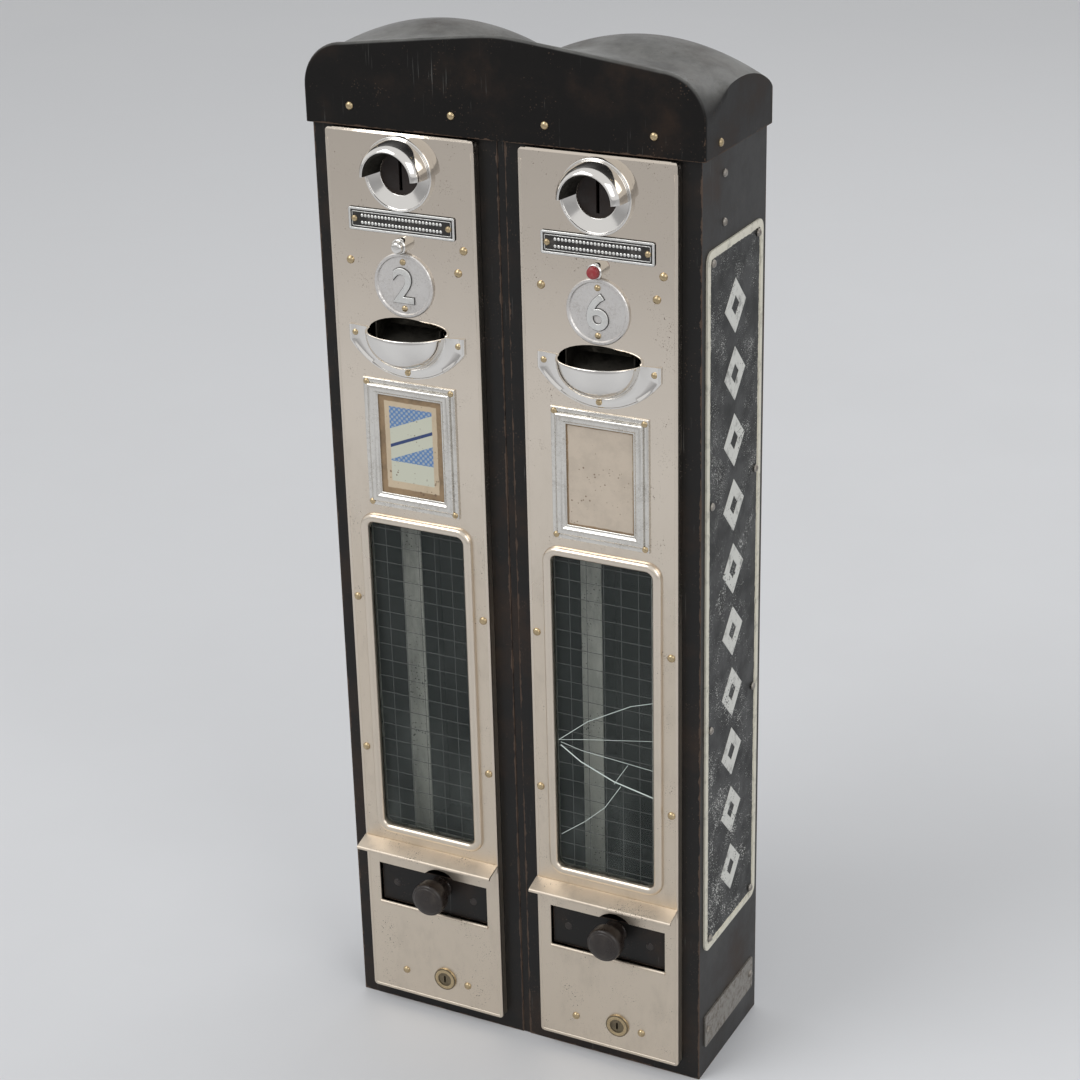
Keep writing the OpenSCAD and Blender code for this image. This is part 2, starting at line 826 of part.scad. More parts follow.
// Open-topped cash box on the case's floor
module cash_box(x) {
    color("#5d5a54")
    difference() {
        block([x - cash_w / 2, cash_y0, sheet], [x + cash_w / 2, cash_y1, sheet + cash_h]);
        block([x - cash_w / 2 + thin, cash_y0 + thin, sheet + thin],
              [x + cash_w / 2 - thin, cash_y1 - thin, sheet + cash_h + past]);
    }
}

// Opening above the return cup: an arch over the rim and the bowl's mouth below it
function cup_opening() = concat(
    ellipse_arc(bowl_half - arch_inset, cup_arch, 0, 180, 16),
    ellipse_arc(bowl_half - mouth_inset, bowl_r - mouth_lift, 190, 350, 16)
);

// One step of the bead round the window: its inset from both edges, and the heights it spans
module bead_ring(inset, from, to) {
    outer_grow = 2 * (bead_w - inset);
    difference() {
        front_plate(moved(round_rect(2 * window_half + outer_grow, window_h + outer_grow, window_r + bead_w - inset),
                          0, window_mid), face_y - to, face_y - from);
        front_plate(moved(round_rect(2 * window_half + 2 * inset, window_h + 2 * inset, window_r + inset),
                          0, window_mid), face_y - to - past, face_y - from + past);
    }
}

// Pressed front: a shallow tray with a raised window bead and all its openings
module panel(x) {
    outer = moved(round_rect(panel_w, panel_h, panel_r), 0, panel_mid);
    inner = moved(round_rect(panel_w - 2 * skin, panel_h - 2 * skin, max(0.4, panel_r - skin)), 0, panel_mid);
    glass = moved(round_rect(2 * window_half, window_h, window_r), 0, window_mid);
    bite = sqrt(2) * edge_chamfer;
    color("#c9c4b8")
    translate([x, 0, 0])
    difference() {
        union() {
            difference() {
                front_plate(outer, face_y, rim_y);
                front_plate(inner, skin_y, rim_y + past);
            }
            bead_ring(bead_edge, 0, bead_step);
            bead_ring(crown_edge, bead_step, bead_top);
        }
        front_plate(glass, face_y - bead_h - past, skin_y + past);
        block([-panel_half - past, rim_cut_y, pivot_z], [panel_half + past, past, panel_top + past]);
        translate([0, face_y, panel_top])
            rotate([45, 0, 0])
                cube([panel_w + 2 * past, bite, bite], center = true);
        for (s = [-1, 1])
            block([s > 0 ? ear_x0 - ear_gap : running - ear_x1 - ear_gap, skin_y, panel_top - skin - past],
                  [s > 0 ? ear_x1 + ear_gap - running : ear_gap - ear_x0, past, panel_top + past]);
        for (s = [-1, 1])
            rod_x(pivot_y, pivot_z, pivot_pin_r + running, s * (panel_half - skin / 2) - skin, s * (panel_half - skin / 2) + skin);
        rod_y(0, coin_z, coin_hole_r, face_y - past, skin_y + past);
        rod_y(0, button_z, bush_barrel_r + running, face_y - past, skin_y + past);
        front_plate(moved(cup_opening(), 0, cup_z), face_y - past, skin_y + past);
        block([-drawer_open_w / 2, face_y - past, drawer_z0], [drawer_open_w / 2, skin_y + past, drawer_z1]);
        rod_y(knob_x, knob_z, knob_notch_r, face_y - past, skin_y + past);
        rod_y(lock_x, lock_z, barrel_r + running, face_y - past, skin_y + past);
        for (p = concat(panel_rivets(), seat_rivets()))
            rod_y(p[0], p[1], rivet_shank_r + running, face_y - past, skin_y + past);
    }
}

// Wired glass behind the window
module window_glass(x) {
    color("#8fa3a0", 0.5)
    translate([x, 0, 0])
        front_plate(moved(round_rect(2 * (window_half + glass_lap), window_h + 2 * glass_lap, 2), 0, window_mid),
                    skin_y, glass_y1);
}

// Sheet frame that holds the glass against the front
module glass_retainer(x) {
    retainer_half = panel_half - skin - 1.2;
    color("#98958c")
    translate([x, 0, 0])
    difference() {
        front_plate(moved(round_rect(2 * retainer_half, window_h + 2 * glass_lap + 4, 3), 0, window_mid),
                    glass_y1, retainer_y1);
        front_plate(moved(round_rect(2 * window_half + 3, window_h + 3, window_r), 0, window_mid),
                    glass_y1 - past, retainer_y1 + past);
        for (p = panel_rivets())
            rod_y(p[0], p[1], rivet_shank_r + running, glass_y1 - past, retainer_y1 + past);
    }
}

// Coin entry bezel: a dished ring with a raised rim and a half-round visor over it
module coin_bezel(x) {
    rim_h = 3.6;
    dish = [[coin_hole_r, 0], [coin_hole_r, 0.9], [bezel_r - 1.9, 2.7], [bezel_r - 1.5, rim_h],
            [bezel_r - 0.4, rim_h - 0.2], [bezel_r, rim_h - 0.9], [bezel_r, 0]];
    visor = [[bezel_r - 3.6, 1.6], [bezel_r - 1.6, 1.6], [visor_r, visor_out], [visor_r - 1.5, visor_out]];
    color("#d6d6d2")
    facing_out(x, face_y, coin_z) {
        rotate_extrude()
            polygon(dish);
        rotate_extrude(angle = 180)
            polygon(visor);
    }
}

// Fibre plate with the coin slit behind the bezel
module coin_plate(x) {
    color("#3a2a20")
    difference() {
        rod_y(x, coin_z, coin_plate_r, skin_y, skin_y + coin_plate_t);
        block([x - slit_w / 2, skin_y - past, coin_z - slit_len / 2],
              [x + slit_w / 2, skin_y + coin_plate_t + past, coin_z + slit_len / 2]);
    }
}

// Plain instruction plate
module label_plate(x) {
    color("#8d8b82")
    translate([x, 0, 0])
    difference() {
        front_plate(moved(round_rect(label_w, label_h, 1.5), 0, label_z), face_y - label_t, face_y);
        for (p = seat_rivets())
            rod_y(p[0], p[1], rivet_shank_r + running, face_y - label_t - past, face_y + past);
    }
}

// Price disc with a raised rim
module price_disc(x) {
    profile = [[0, 0], [disc_r, 0], [disc_r, disc_rim_h - 0.6], [disc_r - 0.6, disc_rim_h],
               [disc_r - disc_rim_w, disc_rim_h], [disc_r - disc_rim_w - 0.8, disc_t], [0, disc_t]];
    color("#b9bbb8")
    translate([x, 0, 0])
    difference() {
        facing_out(0, face_y, disc_z)
            rotate_extrude()
                polygon(profile);
        for (p = seat_rivets())
            rod_y(p[0], p[1], rivet_shank_r + running, face_y - disc_rim_h - past, face_y + past);
    }
}

// Return cup: a half bowl on a flange with two ears
module return_cup(x) {
    flange_top = cup_z + ear_up;
    ear_foot = flange_top - ear_h;
    sag = ear_foot - cup_foot;
    flange_r = (ear_half * ear_half + sag * sag) / (2 * sag);
    reach = asin(ear_half / flange_r);
    steps = 20;
    outer = [for (i = [0:steps]) let (a = -90 - reach + 2 * reach * i / steps)
        [flange_r * cos(a), cup_foot + flange_r + flange_r * sin(a)]];
    mouth_half = bowl_half - cup_t / 2;
    mouth = moved(ellipse_arc(mouth_half, bowl_r - cup_t / 2, 360, 180, steps), 0, cup_z);
    shell = concat(
        [for (p = ellipse_arc(bowl_r, bowl_half, -90, 90, steps)) [max(0, p[0]), p[1]]],
        [for (p = ellipse_arc(bowl_r - cup_t, bowl_half - cup_t, 90, -90, steps)) [max(0, p[0]), p[1]]]
    );
    color("#cfccc4")
    translate([x, 0, 0])
    difference() {
        union() {
            front_plate(concat(outer, [[ear_half, flange_top], [mouth_half, flange_top]], mouth,
                               [[-mouth_half, flange_top], [-ear_half, flange_top]]),
                        face_y - cup_t, face_y);
            translate([0, face_y, cup_z])
                rotate([-90, 0, -90])
                    rotate_extrude(angle = 90)
                        polygon(shell);
        }
        for (p = seat_rivets())
            rod_y(p[0], p[1], rivet_shank_r + running, face_y - cup_t - past, face_y + past);
    }
}

// Stepped card frame with a rebate behind it for the card
module card_frame(x) {
    inner_w = card_frame_w - 2 * card_moulding;
    inner_h = card_frame_h - 2 * card_moulding;
    color("#a9aba6")
    translate([x, 0, 0])
    difference() {
        union() {
            front_plate(moved(round_rect(card_frame_w, card_frame_h, 1.5), 0, card_z), face_y - card_base_t, face_y);
            front_plate(moved(round_rect(card_frame_w - card_moulding, card_frame_h - card_moulding, 1), 0, card_z),
                        face_y - card_step_t, face_y - card_base_t);
        }
        front_plate(moved(round_rect(inner_w, inner_h, 0.6), 0, card_z), face_y - card_step_t - past, face_y + past);
        front_plate(moved(round_rect(inner_w + 2 * card_rebate, inner_h + 2 * card_rebate, 0.6), 0, card_z),
                    face_y - card_t, face_y + past);
        for (p = seat_rivets())
            rod_y(p[0], p[1], rivet_shank_r + running, face_y - card_step_t - past, face_y + past);
    }
}

// Card held in the card frame
module card(x) {
    slack = 0.3;
    color("#cdbfa2")
    translate([x, 0, 0])
        front_plate(moved(round_rect(card_frame_w - 2 * (card_moulding - card_rebate) - slack,
                                     card_frame_h - 2 * (card_moulding - card_rebate) - slack, 0.5), 0, card_z),
                    face_y - card_t, face_y);
}

// Drip ledge over the drawer: a leg on the front and a hemmed lip that slopes outwards
module ledge(x) {
    tip_y = face_y - ledge_t - ledge_out;
    profile = [[face_y, ledge_z - ledge_leg], [face_y, ledge_z], [face_y - ledge_t, ledge_z],
               [tip_y, ledge_z - ledge_drop], [tip_y, ledge_z - ledge_drop - ledge_hem],
               [tip_y + ledge_hem, ledge_z - ledge_drop - ledge_hem],
               [tip_y + ledge_hem, ledge_z - ledge_drop - ledge_t + 0.4],
               [face_y - ledge_t, ledge_z - ledge_t], [face_y - ledge_t, ledge_z - ledge_leg]];
    color("#c2bcae")
        side_plate(profile, x - panel_half, x + panel_half);
}

// Lock barrel with its face ring and back nut
module lock_barrel(x) {
    nut_y0 = skin_y;
    color("#a3997f")
    translate([x, 0, 0])
    difference() {
        union() {
            rod_y(lock_x, lock_z, lock_r, face_y - lock_face_h, face_y);
            rod_y(lock_x, lock_z, barrel_r, face_y, barrel_y1);
            rod_y(lock_x, lock_z, lock_r + 1, nut_y0, nut_y0 + 3);
        }
        rod_y(lock_x, lock_z, plug_r + running, face_y - lock_face_h - past, barrel_y1 + past);
    }
}

// Lock plug with its keyway and the cam behind it, turned aside so that the front is free
module lock_plug(x) {
    plug_face = face_y - lock_face_h + 0.5;
    color("#8c8268")
    translate([x, 0, 0])
    difference() {
        union() {
            rod_y(lock_x, lock_z, plug_r, plug_face, cam_y0 + cam_t);
            block([lock_x, cam_y0, lock_z - cam_half], [lock_x + cam_len, cam_y0 + cam_t, lock_z + cam_half]);
            rod_y(lock_x, lock_z, cam_half + 1.5, cam_y0, cam_y0 + cam_t);
        }
        block([lock_x - keyway_w / 2, plug_face - past, lock_z - keyway_len / 2],
              [lock_x + keyway_w / 2, plug_face + keyway_depth, lock_z + keyway_len / 2]);
    }
}

// Rivets and screws on a front: larger heads on the sheet, smaller ones on the plates
module rivets(x) {
    color("#b79d62")
    translate([x, 0, 0]) {
        for (p = panel_rivets())
            rivet(p[0], p[1], p[2], p[3], front_rivet_r, front_rivet_h);
        for (p = seat_rivets())
            rivet(p[0], p[1], p[2], p[3], rivet_r, rivet_h);
    }
}

// Coin chute behind the coin entry, open to the front, with the reject lever's pin
module coin_chute(x) {
    floor_front = cup_z - chute_fall;
    inside = chute_half - thin;
    floor_line = [[skin_y, floor_front], [chute_back, cup_z], [chute_back, cup_z + thin], [skin_y, floor_front + thin]];
    color("#85837b")
    translate([x, 0, 0]) {
        difference() {
            block([-chute_half, skin_y, floor_front - 2], [chute_half, chute_back, chute_top]);
            block([-inside, skin_y - past, floor_front - 2 - past], [inside, chute_back - thin, chute_top - thin]);
            block([-coin_path_w / 2, chute_back - thin - past, outlet_z],
                  [coin_path_w / 2, chute_back + past, outlet_z + outlet_h]);
        }
        side_plate(floor_line, -inside, inside);
        rod_x(lever_y, lever_z, lever_pin_r, -chute_half - 1, chute_half + 1);
    }
}

// Ferrule and barrel that guide the return button
module button_bush(x) {
    profile = [[button_r + running, -ferrule_h], [ferrule_r - 0.8, -ferrule_h], [ferrule_r, -ferrule_h + 0.8],
               [ferrule_r, 0], [bush_barrel_r, 0], [bush_barrel_r, bush_y1 - face_y],
               [stem_r + running, bush_y1 - face_y], [stem_r + running, bush_y1 - face_y - bush_floor],
               [button_r + running, bush_y1 - face_y - bush_floor]];
    color("#c8c6c0")
    translate([x, face_y, button_z])
        rotate([-90, 0, 0])
            rotate_extrude()
                polygon(profile);
}

// Return button: domed cap, stem and clip
module return_button(x) {
    dome = 0.8;
    cap = cap_y1 - cap_y0;
    end = stem_end - cap_y0;
    clip0 = bush_y1 + clip_gap - cap_y0;
    profile = [[0, 0], [button_r - 1.4, dome * 0.3], [button_r - 0.5, dome], [button_r, dome * 2], [button_r, cap],
               [stem_r, cap], [stem_r, clip0], [clip_r, clip0], [clip_r, clip0 + clip_t], [stem_r, clip0 + clip_t],
               [stem_r, end], [0, end]];
    color(x > 0 ? "#8e2f33" : "#c9c9c4")
    translate([x, cap_y0, button_z])
        rotate([-90, 0, 0])
            rotate_extrude()
                polygon(profile);
}

// Return spring, as the plain sleeve that its coils fill
module button_spring(x) {
    inner = stem_r + 0.2;
    color("#9c9c98")
    difference() {
        rod_y(x, button_z, inner + spring_wall, cap_y1, bush_y1 - bush_floor);
        rod_y(x, button_z, inner, cap_y1 - past, bush_y1 - bush_floor + past);
    }
}

// Reject lever: a plate on the chute's pin with a tab behind the button's stem
module reject_lever(x) {
    color("#b0a06a")
    translate([x, 0, 0])
    difference() {
        union() {
            rod_x(lever_y, lever_z, lever_hub_r, -lever_half, lever_half);
            block([-lever_half, lever_y - lever_t / 2, lever_z - lever_foot],
                  [lever_half, lever_y + lever_t / 2, button_z + lever_tab]);
            block([-lever_half / 2, stem_end + lever_gap, button_z - lever_tab],
                  [lever_half / 2, lever_y, button_z + lever_tab]);
        }
        rod_x(lever_y, lever_z, lever_pin_r + running, -lever_half - past, lever_half + past);
    }
}

// Drawer: an open box with a plain front
module drawer(x) {
    color("#171514")
    translate([x, 0, 0])
    difference() {
        block([-drawer_half, drawer_y0, drawer_low], [drawer_half, drawer_y1, drawer_high]);
        block([-drawer_half + drawer_wall, drawer_y0 + drawer_front_t, drawer_low + drawer_wall],
              [drawer_half - drawer_wall, drawer_y1 - drawer_wall, drawer_high + past]);
        rod_y(knob_x, knob_z, knob_screw_r + running, drawer_y0 - past, drawer_y0 + drawer_front_t + past);
    }
}

// Turned drawer knob with its screw through the drawer's front
module drawer_knob(x) {
    nut_r = 3.6;
    nut_t = 2;
    head = knob_len * 0.55;
    behind = drawer_front_t;
    profile = [[0, -behind - nut_t], [nut_r, -behind - nut_t], [nut_r, -behind], [knob_screw_r, -behind],
               [knob_screw_r, 0], [knob_neck_r + 1.5, 0], [knob_neck_r, 2], [knob_neck_r, knob_len - head - 1],
               [knob_r - 1, knob_len - head], [knob_r, knob_len - head + 2], [knob_r, knob_len - 4],
               [knob_r - 1, knob_len - 2], [knob_r - 3, knob_len - 0.8], [knob_r * 0.5, knob_len - 0.1], [0, knob_len]];
    color("#2e2724")
    facing_out(x + knob_x, drawer_y0, knob_z)
        rotate_extrude()
            polygon(profile);
}

placed() case_shell(left_x);  // left_case
placed() case_shell(right_x);  // right_case
placed() column_spacer();
placed() joining_bolts();
placed() hood();
placed() hood_screws();
placed() sign_plate();
placed() small_plate();
placed() side_screws();
placed() door_pivots();
placed() magazine(left_x);  // left_magazine
placed() magazine(right_x);  // right_magazine
placed() drawer_shelf(left_x);  // left_drawer_shelf
placed() drawer_shelf(right_x);  // right_drawer_shelf
placed() coin_tube(left_x);  // left_coin_tube
placed() coin_tube(right_x);  // right_coin_tube
placed() cash_box(left_x);  // left_cash_box
placed() cash_box(right_x);  // right_cash_box
placed() panel(left_x);  // left_panel
placed() panel(right_x);  // right_panel
placed() window_glass(left_x);  // left_window_glass
placed() window_glass(right_x);  // right_window_glass
placed() glass_retainer(left_x);  // left_glass_retainer
placed() glass_retainer(right_x);  // right_glass_retainer
placed() coin_bezel(left_x);  // left_coin_bezel
placed() coin_bezel(right_x);  // right_coin_bezel
placed() coin_plate(left_x);  // left_coin_plate
placed() coin_plate(right_x);  // right_coin_plate
placed() label_plate(left_x);  // left_label_plate
placed() label_plate(right_x);  // right_label_plate
placed() price_disc(left_x);  // left_price_disc
placed() price_disc(right_x);  // right_price_disc
placed() return_cup(left_x);  // left_return_cup
placed() return_cup(right_x);  // right_return_cup
placed() card_frame(left_x);  // left_card_frame
placed() card_frame(right_x);  // right_card_frame
placed() card(left_x);  // left_card
placed() card(right_x);  // right_card
placed() ledge(left_x);  // left_ledge
placed() ledge(right_x);  // right_ledge
placed() lock_barrel(left_x);  // left_lock_barrel
placed() lock_barrel(right_x);  // right_lock_barrel
placed() rivets(left_x);  // left_rivets
placed() rivets(right_x);  // right_rivets
placed() coin_chute(left_x);  // left_coin_chute
placed() coin_chute(right_x);  // right_coin_chute
placed() button_bush(left_x);  // left_button_bush
placed() button_bush(right_x);  // right_button_bush
placed() return_button(left_x);  // left_return_button
placed() return_button(right_x);  // right_return_button
placed() button_spring(left_x);  // left_button_spring
placed() button_spring(right_x);  // right_button_spring
placed() reject_lever(left_x);  // left_reject_lever
placed() reject_lever(right_x);  // right_reject_lever
placed() lock_plug(left_x);  // left_lock_plug
placed() lock_plug(right_x);  // right_lock_plug
placed() drawer(left_x);  // left_drawer
placed() drawer(right_x);  // right_drawer
placed() drawer_knob(left_x);  // left_drawer_knob
placed() drawer_knob(right_x);  // right_drawer_knob
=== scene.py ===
"""Looks of a two-column coin machine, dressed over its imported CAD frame.

Every piece is worked out in metres in the CAD frame: +X right, +Z up, fronts
towards -Y. Places come from the CAD nodes' boxes, so a piece sits on the solid
that it dresses. Outlines are listed in millimetres.
"""

import json
import logging
import math
from dataclasses import dataclass, field
from enum import Enum
from typing import Any, Sequence

import bmesh
import bpy
import numpy as np
from mathutils import Matrix, Vector

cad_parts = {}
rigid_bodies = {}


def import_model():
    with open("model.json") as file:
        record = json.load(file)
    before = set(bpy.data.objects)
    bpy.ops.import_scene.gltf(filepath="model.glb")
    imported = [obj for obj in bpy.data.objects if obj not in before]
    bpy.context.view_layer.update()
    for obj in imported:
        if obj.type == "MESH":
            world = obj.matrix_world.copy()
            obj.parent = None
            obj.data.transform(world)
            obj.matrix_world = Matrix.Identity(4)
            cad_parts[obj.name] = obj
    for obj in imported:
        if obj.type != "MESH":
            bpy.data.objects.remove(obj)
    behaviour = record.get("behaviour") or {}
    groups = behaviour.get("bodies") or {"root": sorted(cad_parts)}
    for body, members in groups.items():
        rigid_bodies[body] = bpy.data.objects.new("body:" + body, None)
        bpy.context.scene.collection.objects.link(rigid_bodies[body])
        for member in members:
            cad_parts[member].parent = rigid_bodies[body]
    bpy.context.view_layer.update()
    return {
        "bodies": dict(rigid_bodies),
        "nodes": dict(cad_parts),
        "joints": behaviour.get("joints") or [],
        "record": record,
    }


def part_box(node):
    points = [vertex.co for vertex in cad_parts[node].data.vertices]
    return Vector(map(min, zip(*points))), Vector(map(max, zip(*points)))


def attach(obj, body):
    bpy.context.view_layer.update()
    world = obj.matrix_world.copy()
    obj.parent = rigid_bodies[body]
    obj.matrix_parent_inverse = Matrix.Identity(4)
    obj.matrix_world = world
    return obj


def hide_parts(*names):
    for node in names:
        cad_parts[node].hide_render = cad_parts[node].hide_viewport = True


Array = np.ndarray
Material = bpy.types.Material
Object = bpy.types.Object
Socket = bpy.types.NodeSocket
Tree = bpy.types.NodeTree
Colour = tuple[float, float, float]
Place = tuple[float, float, float]
Outline = Sequence[tuple[float, float]]
LOG = logging.getLogger("coin_machine")
MM = 0.001


class Side(Enum):
    """The two columns of the machine."""

    LEFT = "left"
    RIGHT = "right"

    def named(self, name: str) -> str:
        """The node, body or piece of that name in this column."""
        return f"{self.value}_{name}"


@dataclass(frozen=True)
class Box:
    """Lowest and highest corner of a CAD node, in metres."""

    low: Array
    high: Array

    @classmethod
    def of(cls, node: str) -> "Box":
        """The box of a CAD node at rest."""
        low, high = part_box(node)
        return cls(np.array(low), np.array(high))

    @property
    def corners(self) -> tuple[Place, Place]:
        """Both corners as plain numbers."""
        return tuple(self.low), tuple(self.high)

    @property
    def middle(self) -> Array:
        """The box's middle."""
        return (self.low + self.high) / 2

    @property
    def size(self) -> Array:
        """The box's extents."""
        return self.high - self.low

    @property
    def seat(self) -> Place:
        """Middle of the box's back, where its node sits on a sheet."""
        return self.middle[0], self.high[1], self.middle[2]


def arc(from_deg: float, to_deg: float, steps: int) -> Array:
    """Angles in radians, evenly spaced and ends included."""
    return np.radians(np.linspace(from_deg, to_deg, steps + 1))


def centred(count: int, pitch: float) -> Array:
    """Evenly spaced places on both sides of 0."""
    return (np.arange(count) - (count - 1) / 2) * pitch


def moved(outline: Outline, across: float, up: float = 0.0) -> list[tuple[float, float]]:
    """An outline's points, moved."""
    return [(a + across, b + up) for a, b in outline]


def filleted(corners: Outline, radius: float, steps: int = 4, reach: float = 0.45) -> Array:
    """Rounds an open outline's inner corners.

    Each corner gives way to a quadratic curve that leaves and joins its two
    edges at most `radius` from the corner and at most a share of an edge along it.

    Args:
        corners: Outline points in millimetres.
        radius: Distance from a corner at which its rounding starts, in millimetres.
        steps: Steps in each rounding.
        reach: Share of an edge that one rounding may use.

    Returns:
        Points of the rounded outline, in metres.
    """
    p = np.array(corners, float) * MM
    before, at, after = p[:-2], p[1:-1], p[2:]
    back, ahead = before - at, after - at
    back_len = np.linalg.norm(back, axis=1, keepdims=True)
    ahead_len = np.linalg.norm(ahead, axis=1, keepdims=True)
    start = at + back / back_len * np.minimum(radius * MM, reach * back_len)
    end = at + ahead / ahead_len * np.minimum(radius * MM, reach * ahead_len)
    t = np.linspace(0, 1, steps + 1)[None, :, None]
    curve = (1 - t) ** 2 * start[:, None] + 2 * t * (1 - t) * at[:, None] + t**2 * end[:, None]
    return np.vstack([p[:1], curve.reshape(-1, 2), p[-1:]])


def turned(profile: Array, segments: int, from_deg: float = 0.0, to_deg: float = 360.0) -> Array:
    """Carries a (radius, height) profile round an axis.

    A point is (r cos t, r sin t, h). A full turn leaves its last meridian off,
    because the grid then wraps.

    Args:
        profile: Points of the profile.
        segments: Steps round the axis.
        from_deg: First angle.
        to_deg: Last angle.

    Returns:
        Grid of points, meridians by profile points.
    """
    full = abs(to_deg - from_deg) >= 360
    t = arc(from_deg, to_deg, segments)[: -1 if full else None, None]
    r, h = profile[None, :, 0], profile[None, :, 1]
    return np.stack([r * np.cos(t), r * np.sin(t), h + 0 * t], -1)


def facing_out(points: Array, x: float, y: float, z: float) -> Array:
    """Turns local points so that their height points out towards -Y, and puts them on (x, y, z)."""
    return np.stack([x + points[..., 0], y - points[..., 2], z + points[..., 1]], -1)


def along_x(section: Array, low: float, high: float) -> Array:
    """Carries a (y, z) section straight along X, as a grid of two rows."""
    x = np.array([low, high])[:, None] + 0 * section[:, 0]
    return np.stack(np.broadcast_arrays(x, section[:, 0], section[:, 1]), -1)


def round_rect(half_w: float, half_h: float, radius: float, steps: int = 8) -> tuple[Array, Array]:
    """Outline of a rounded rectangle on X and Z: four quarter circles round the corners' centres.

    Args:
        half_w: Half width.
        half_h: Half height.
        radius: Corner radius.
        steps: Steps in each corner.

    Returns:
        Points and unit outward directions, two numbers each.
    """
    t = np.concatenate([arc(90 * q, 90 * q + 90, steps) for q in range(4)])
    out = np.stack([np.cos(t), np.sin(t)], -1)
    sign = np.repeat([[1, 1], [-1, 1], [-1, -1], [1, -1]], steps + 1, axis=0)
    return sign * np.array([half_w - radius, half_h - radius]) + radius * out, out


def swept(path: Array, out: Array, profile: Array, x: float, y: float, z: float) -> Array:
    """Carries a profile along an outline on X and Z.

    A profile point (u, h) lies u outwards from the outline and h in front of
    the plane y.

    Args:
        path: Outline points.
        out: Outward directions at them.
        profile: Profile points (u, h).
        x: Middle of the outline.
        y: Plane that the profile stands on.
        z: Middle of the outline.

    Returns:
        Grid of points, outline points by profile points.
    """
    flat = path[:, None] + profile[None, :, :1] * out[:, None]
    height = np.broadcast_to(y - profile[None, :, 1], flat.shape[:2])
    return np.stack([x + flat[..., 0], height, z + flat[..., 1]], -1)


@dataclass
class Draft:
    """Points and faces of one piece, gathered from grids before its mesh is made."""

    points: list[Array] = field(default_factory=list)
    faces: list[list[int]] = field(default_factory=list)
    count: int = 0
    merge_within: float = 1e-6
    drop_within: float = 1e-7

    def add(self, points: Array) -> Array:
        """Adds points.

        Args:
            points: Points in any layout.

        Returns:
            Their indices, in the same layout.
        """
        flat = points.reshape(-1, 3)
        index = np.arange(self.count, self.count + len(flat)).reshape(points.shape[:-1])
        self.points.append(flat)
        self.count += len(flat)
        return index

    def grid(self, points: Array, wrap_rows: bool = False, wrap_cols: bool = False) -> Array:
        """Adds a surface of rows by columns, or a stack of such surfaces.

        Args:
            points: Points, with rows and columns as the last two layout axes.
            wrap_rows: Joins the last row to the first.
            wrap_cols: Joins the last column to the first.

        Returns:
            Indices of the points, in the given layout.
        """
        given = index = self.add(points)
        if wrap_rows:
            index = np.concatenate([index, index[..., :1, :]], -2)
        if wrap_cols:
            index = np.concatenate([index, index[..., :1]], -1)
        quads = [index[..., :-1, :-1], index[..., 1:, :-1], index[..., 1:, 1:], index[..., :-1, 1:]]
        self.faces += np.stack(quads, -1).reshape(-1, 4).tolist()
        return given

    def ring(self, points: Array) -> None:
        """Adds a surface that closes on itself both ways."""
        self.grid(points, wrap_rows=True, wrap_cols=True)

    def spindle(self, points: Array) -> None:
        """Adds turned surfaces whose profile starts and ends on the axis."""
        self.grid(points, wrap_rows=True)

    def bar(self, points: Array) -> None:
        """Adds surfaces that close round their columns, with a flat face on each end.

        Args:
            points: Points of one surface, or of a stack of them.
        """
        index = self.grid(points, wrap_cols=True)
        for bar in index.reshape(-1, *index.shape[-2:]):
            self.polygon(bar[0])
            self.polygon(bar[-1])

    def polygon(self, index: Array) -> None:
        """Adds one flat face over points that were added before."""
        self.faces.append(index.ravel().tolist())

    def build(self, name: str, sharp_deg: float = 40.0) -> Object:
        """Makes the mesh: doubles merged, faces turned outwards, smooth up to an angle.

        Args:
            name: Name of the piece.
            sharp_deg: Angle from which an edge stays sharp.

        Returns:
            The new object, at the origin.
        """
        mesh = bpy.data.meshes.new(name)
        mesh.from_pydata(np.vstack(self.points).tolist(), [], self.faces)
        work = bmesh.new()
        work.from_mesh(mesh)
        bmesh.ops.remove_doubles(work, verts=work.verts, dist=self.merge_within)
        bmesh.ops.dissolve_degenerate(work, edges=work.edges, dist=self.drop_within)
        bmesh.ops.recalc_face_normals(work, faces=work.faces)
        work.to_mesh(mesh)
        work.free()
        mesh.polygons.foreach_set("use_smooth", np.ones(len(mesh.polygons), bool))
        mesh.set_sharp_from_angle(angle=math.radians(sharp_deg))
        made = bpy.data.objects.new(name, mesh)
        bpy.context.scene.collection.objects.link(made)
        return made


def dress(piece: Object, body: str, slot: str, finish: Material, *stands_for: str) -> None:
    """Gives a new piece its body and finish, and hides the nodes that it stands for.

    Args:
        piece: The new piece.
        body: CAD body that it moves with.
        slot: Material slot of the record. It is not used.
        finish: Its material.
        stands_for: CAD nodes that it replaces.
    """
    piece.data.materials.append(finish)
    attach(piece, body)
    if stands_for:
        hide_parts(*stands_for)
    LOG.info("%s: %d faces on %s", piece.name, len(piece.data.polygons), body)


def coat(frame: dict[str, Any], finish: Material, *nodes: str) -> None:
    """Gives CAD nodes a finish in place of their plain colour.

    Args:
        frame: The loaded frame.
        finish: The material.
        nodes: Names of the CAD nodes.
    """
    for name in nodes:
        mesh = frame["nodes"][name].data
        mesh.materials.clear()
        mesh.materials.append(finish)
        LOG.info("%s: coated with %s", name, finish.name)


def shade(colour: Colour, share: float) -> Colour:
    """A colour made darker."""
    return tuple(share * c for c in colour)


@dataclass(frozen=True)
class Grain:
    """A fractal noise: its scale in a metre, its detail and how rough that is."""

    scale: float
    detail: float = 4.0
    rough: float = 0.55


@dataclass(frozen=True)
class Ramp:
    """A smooth rise from one value to another while its input crosses a range."""

    low: float
    high: float
    to_low: float = 0.0
    to_high: float = 1.0


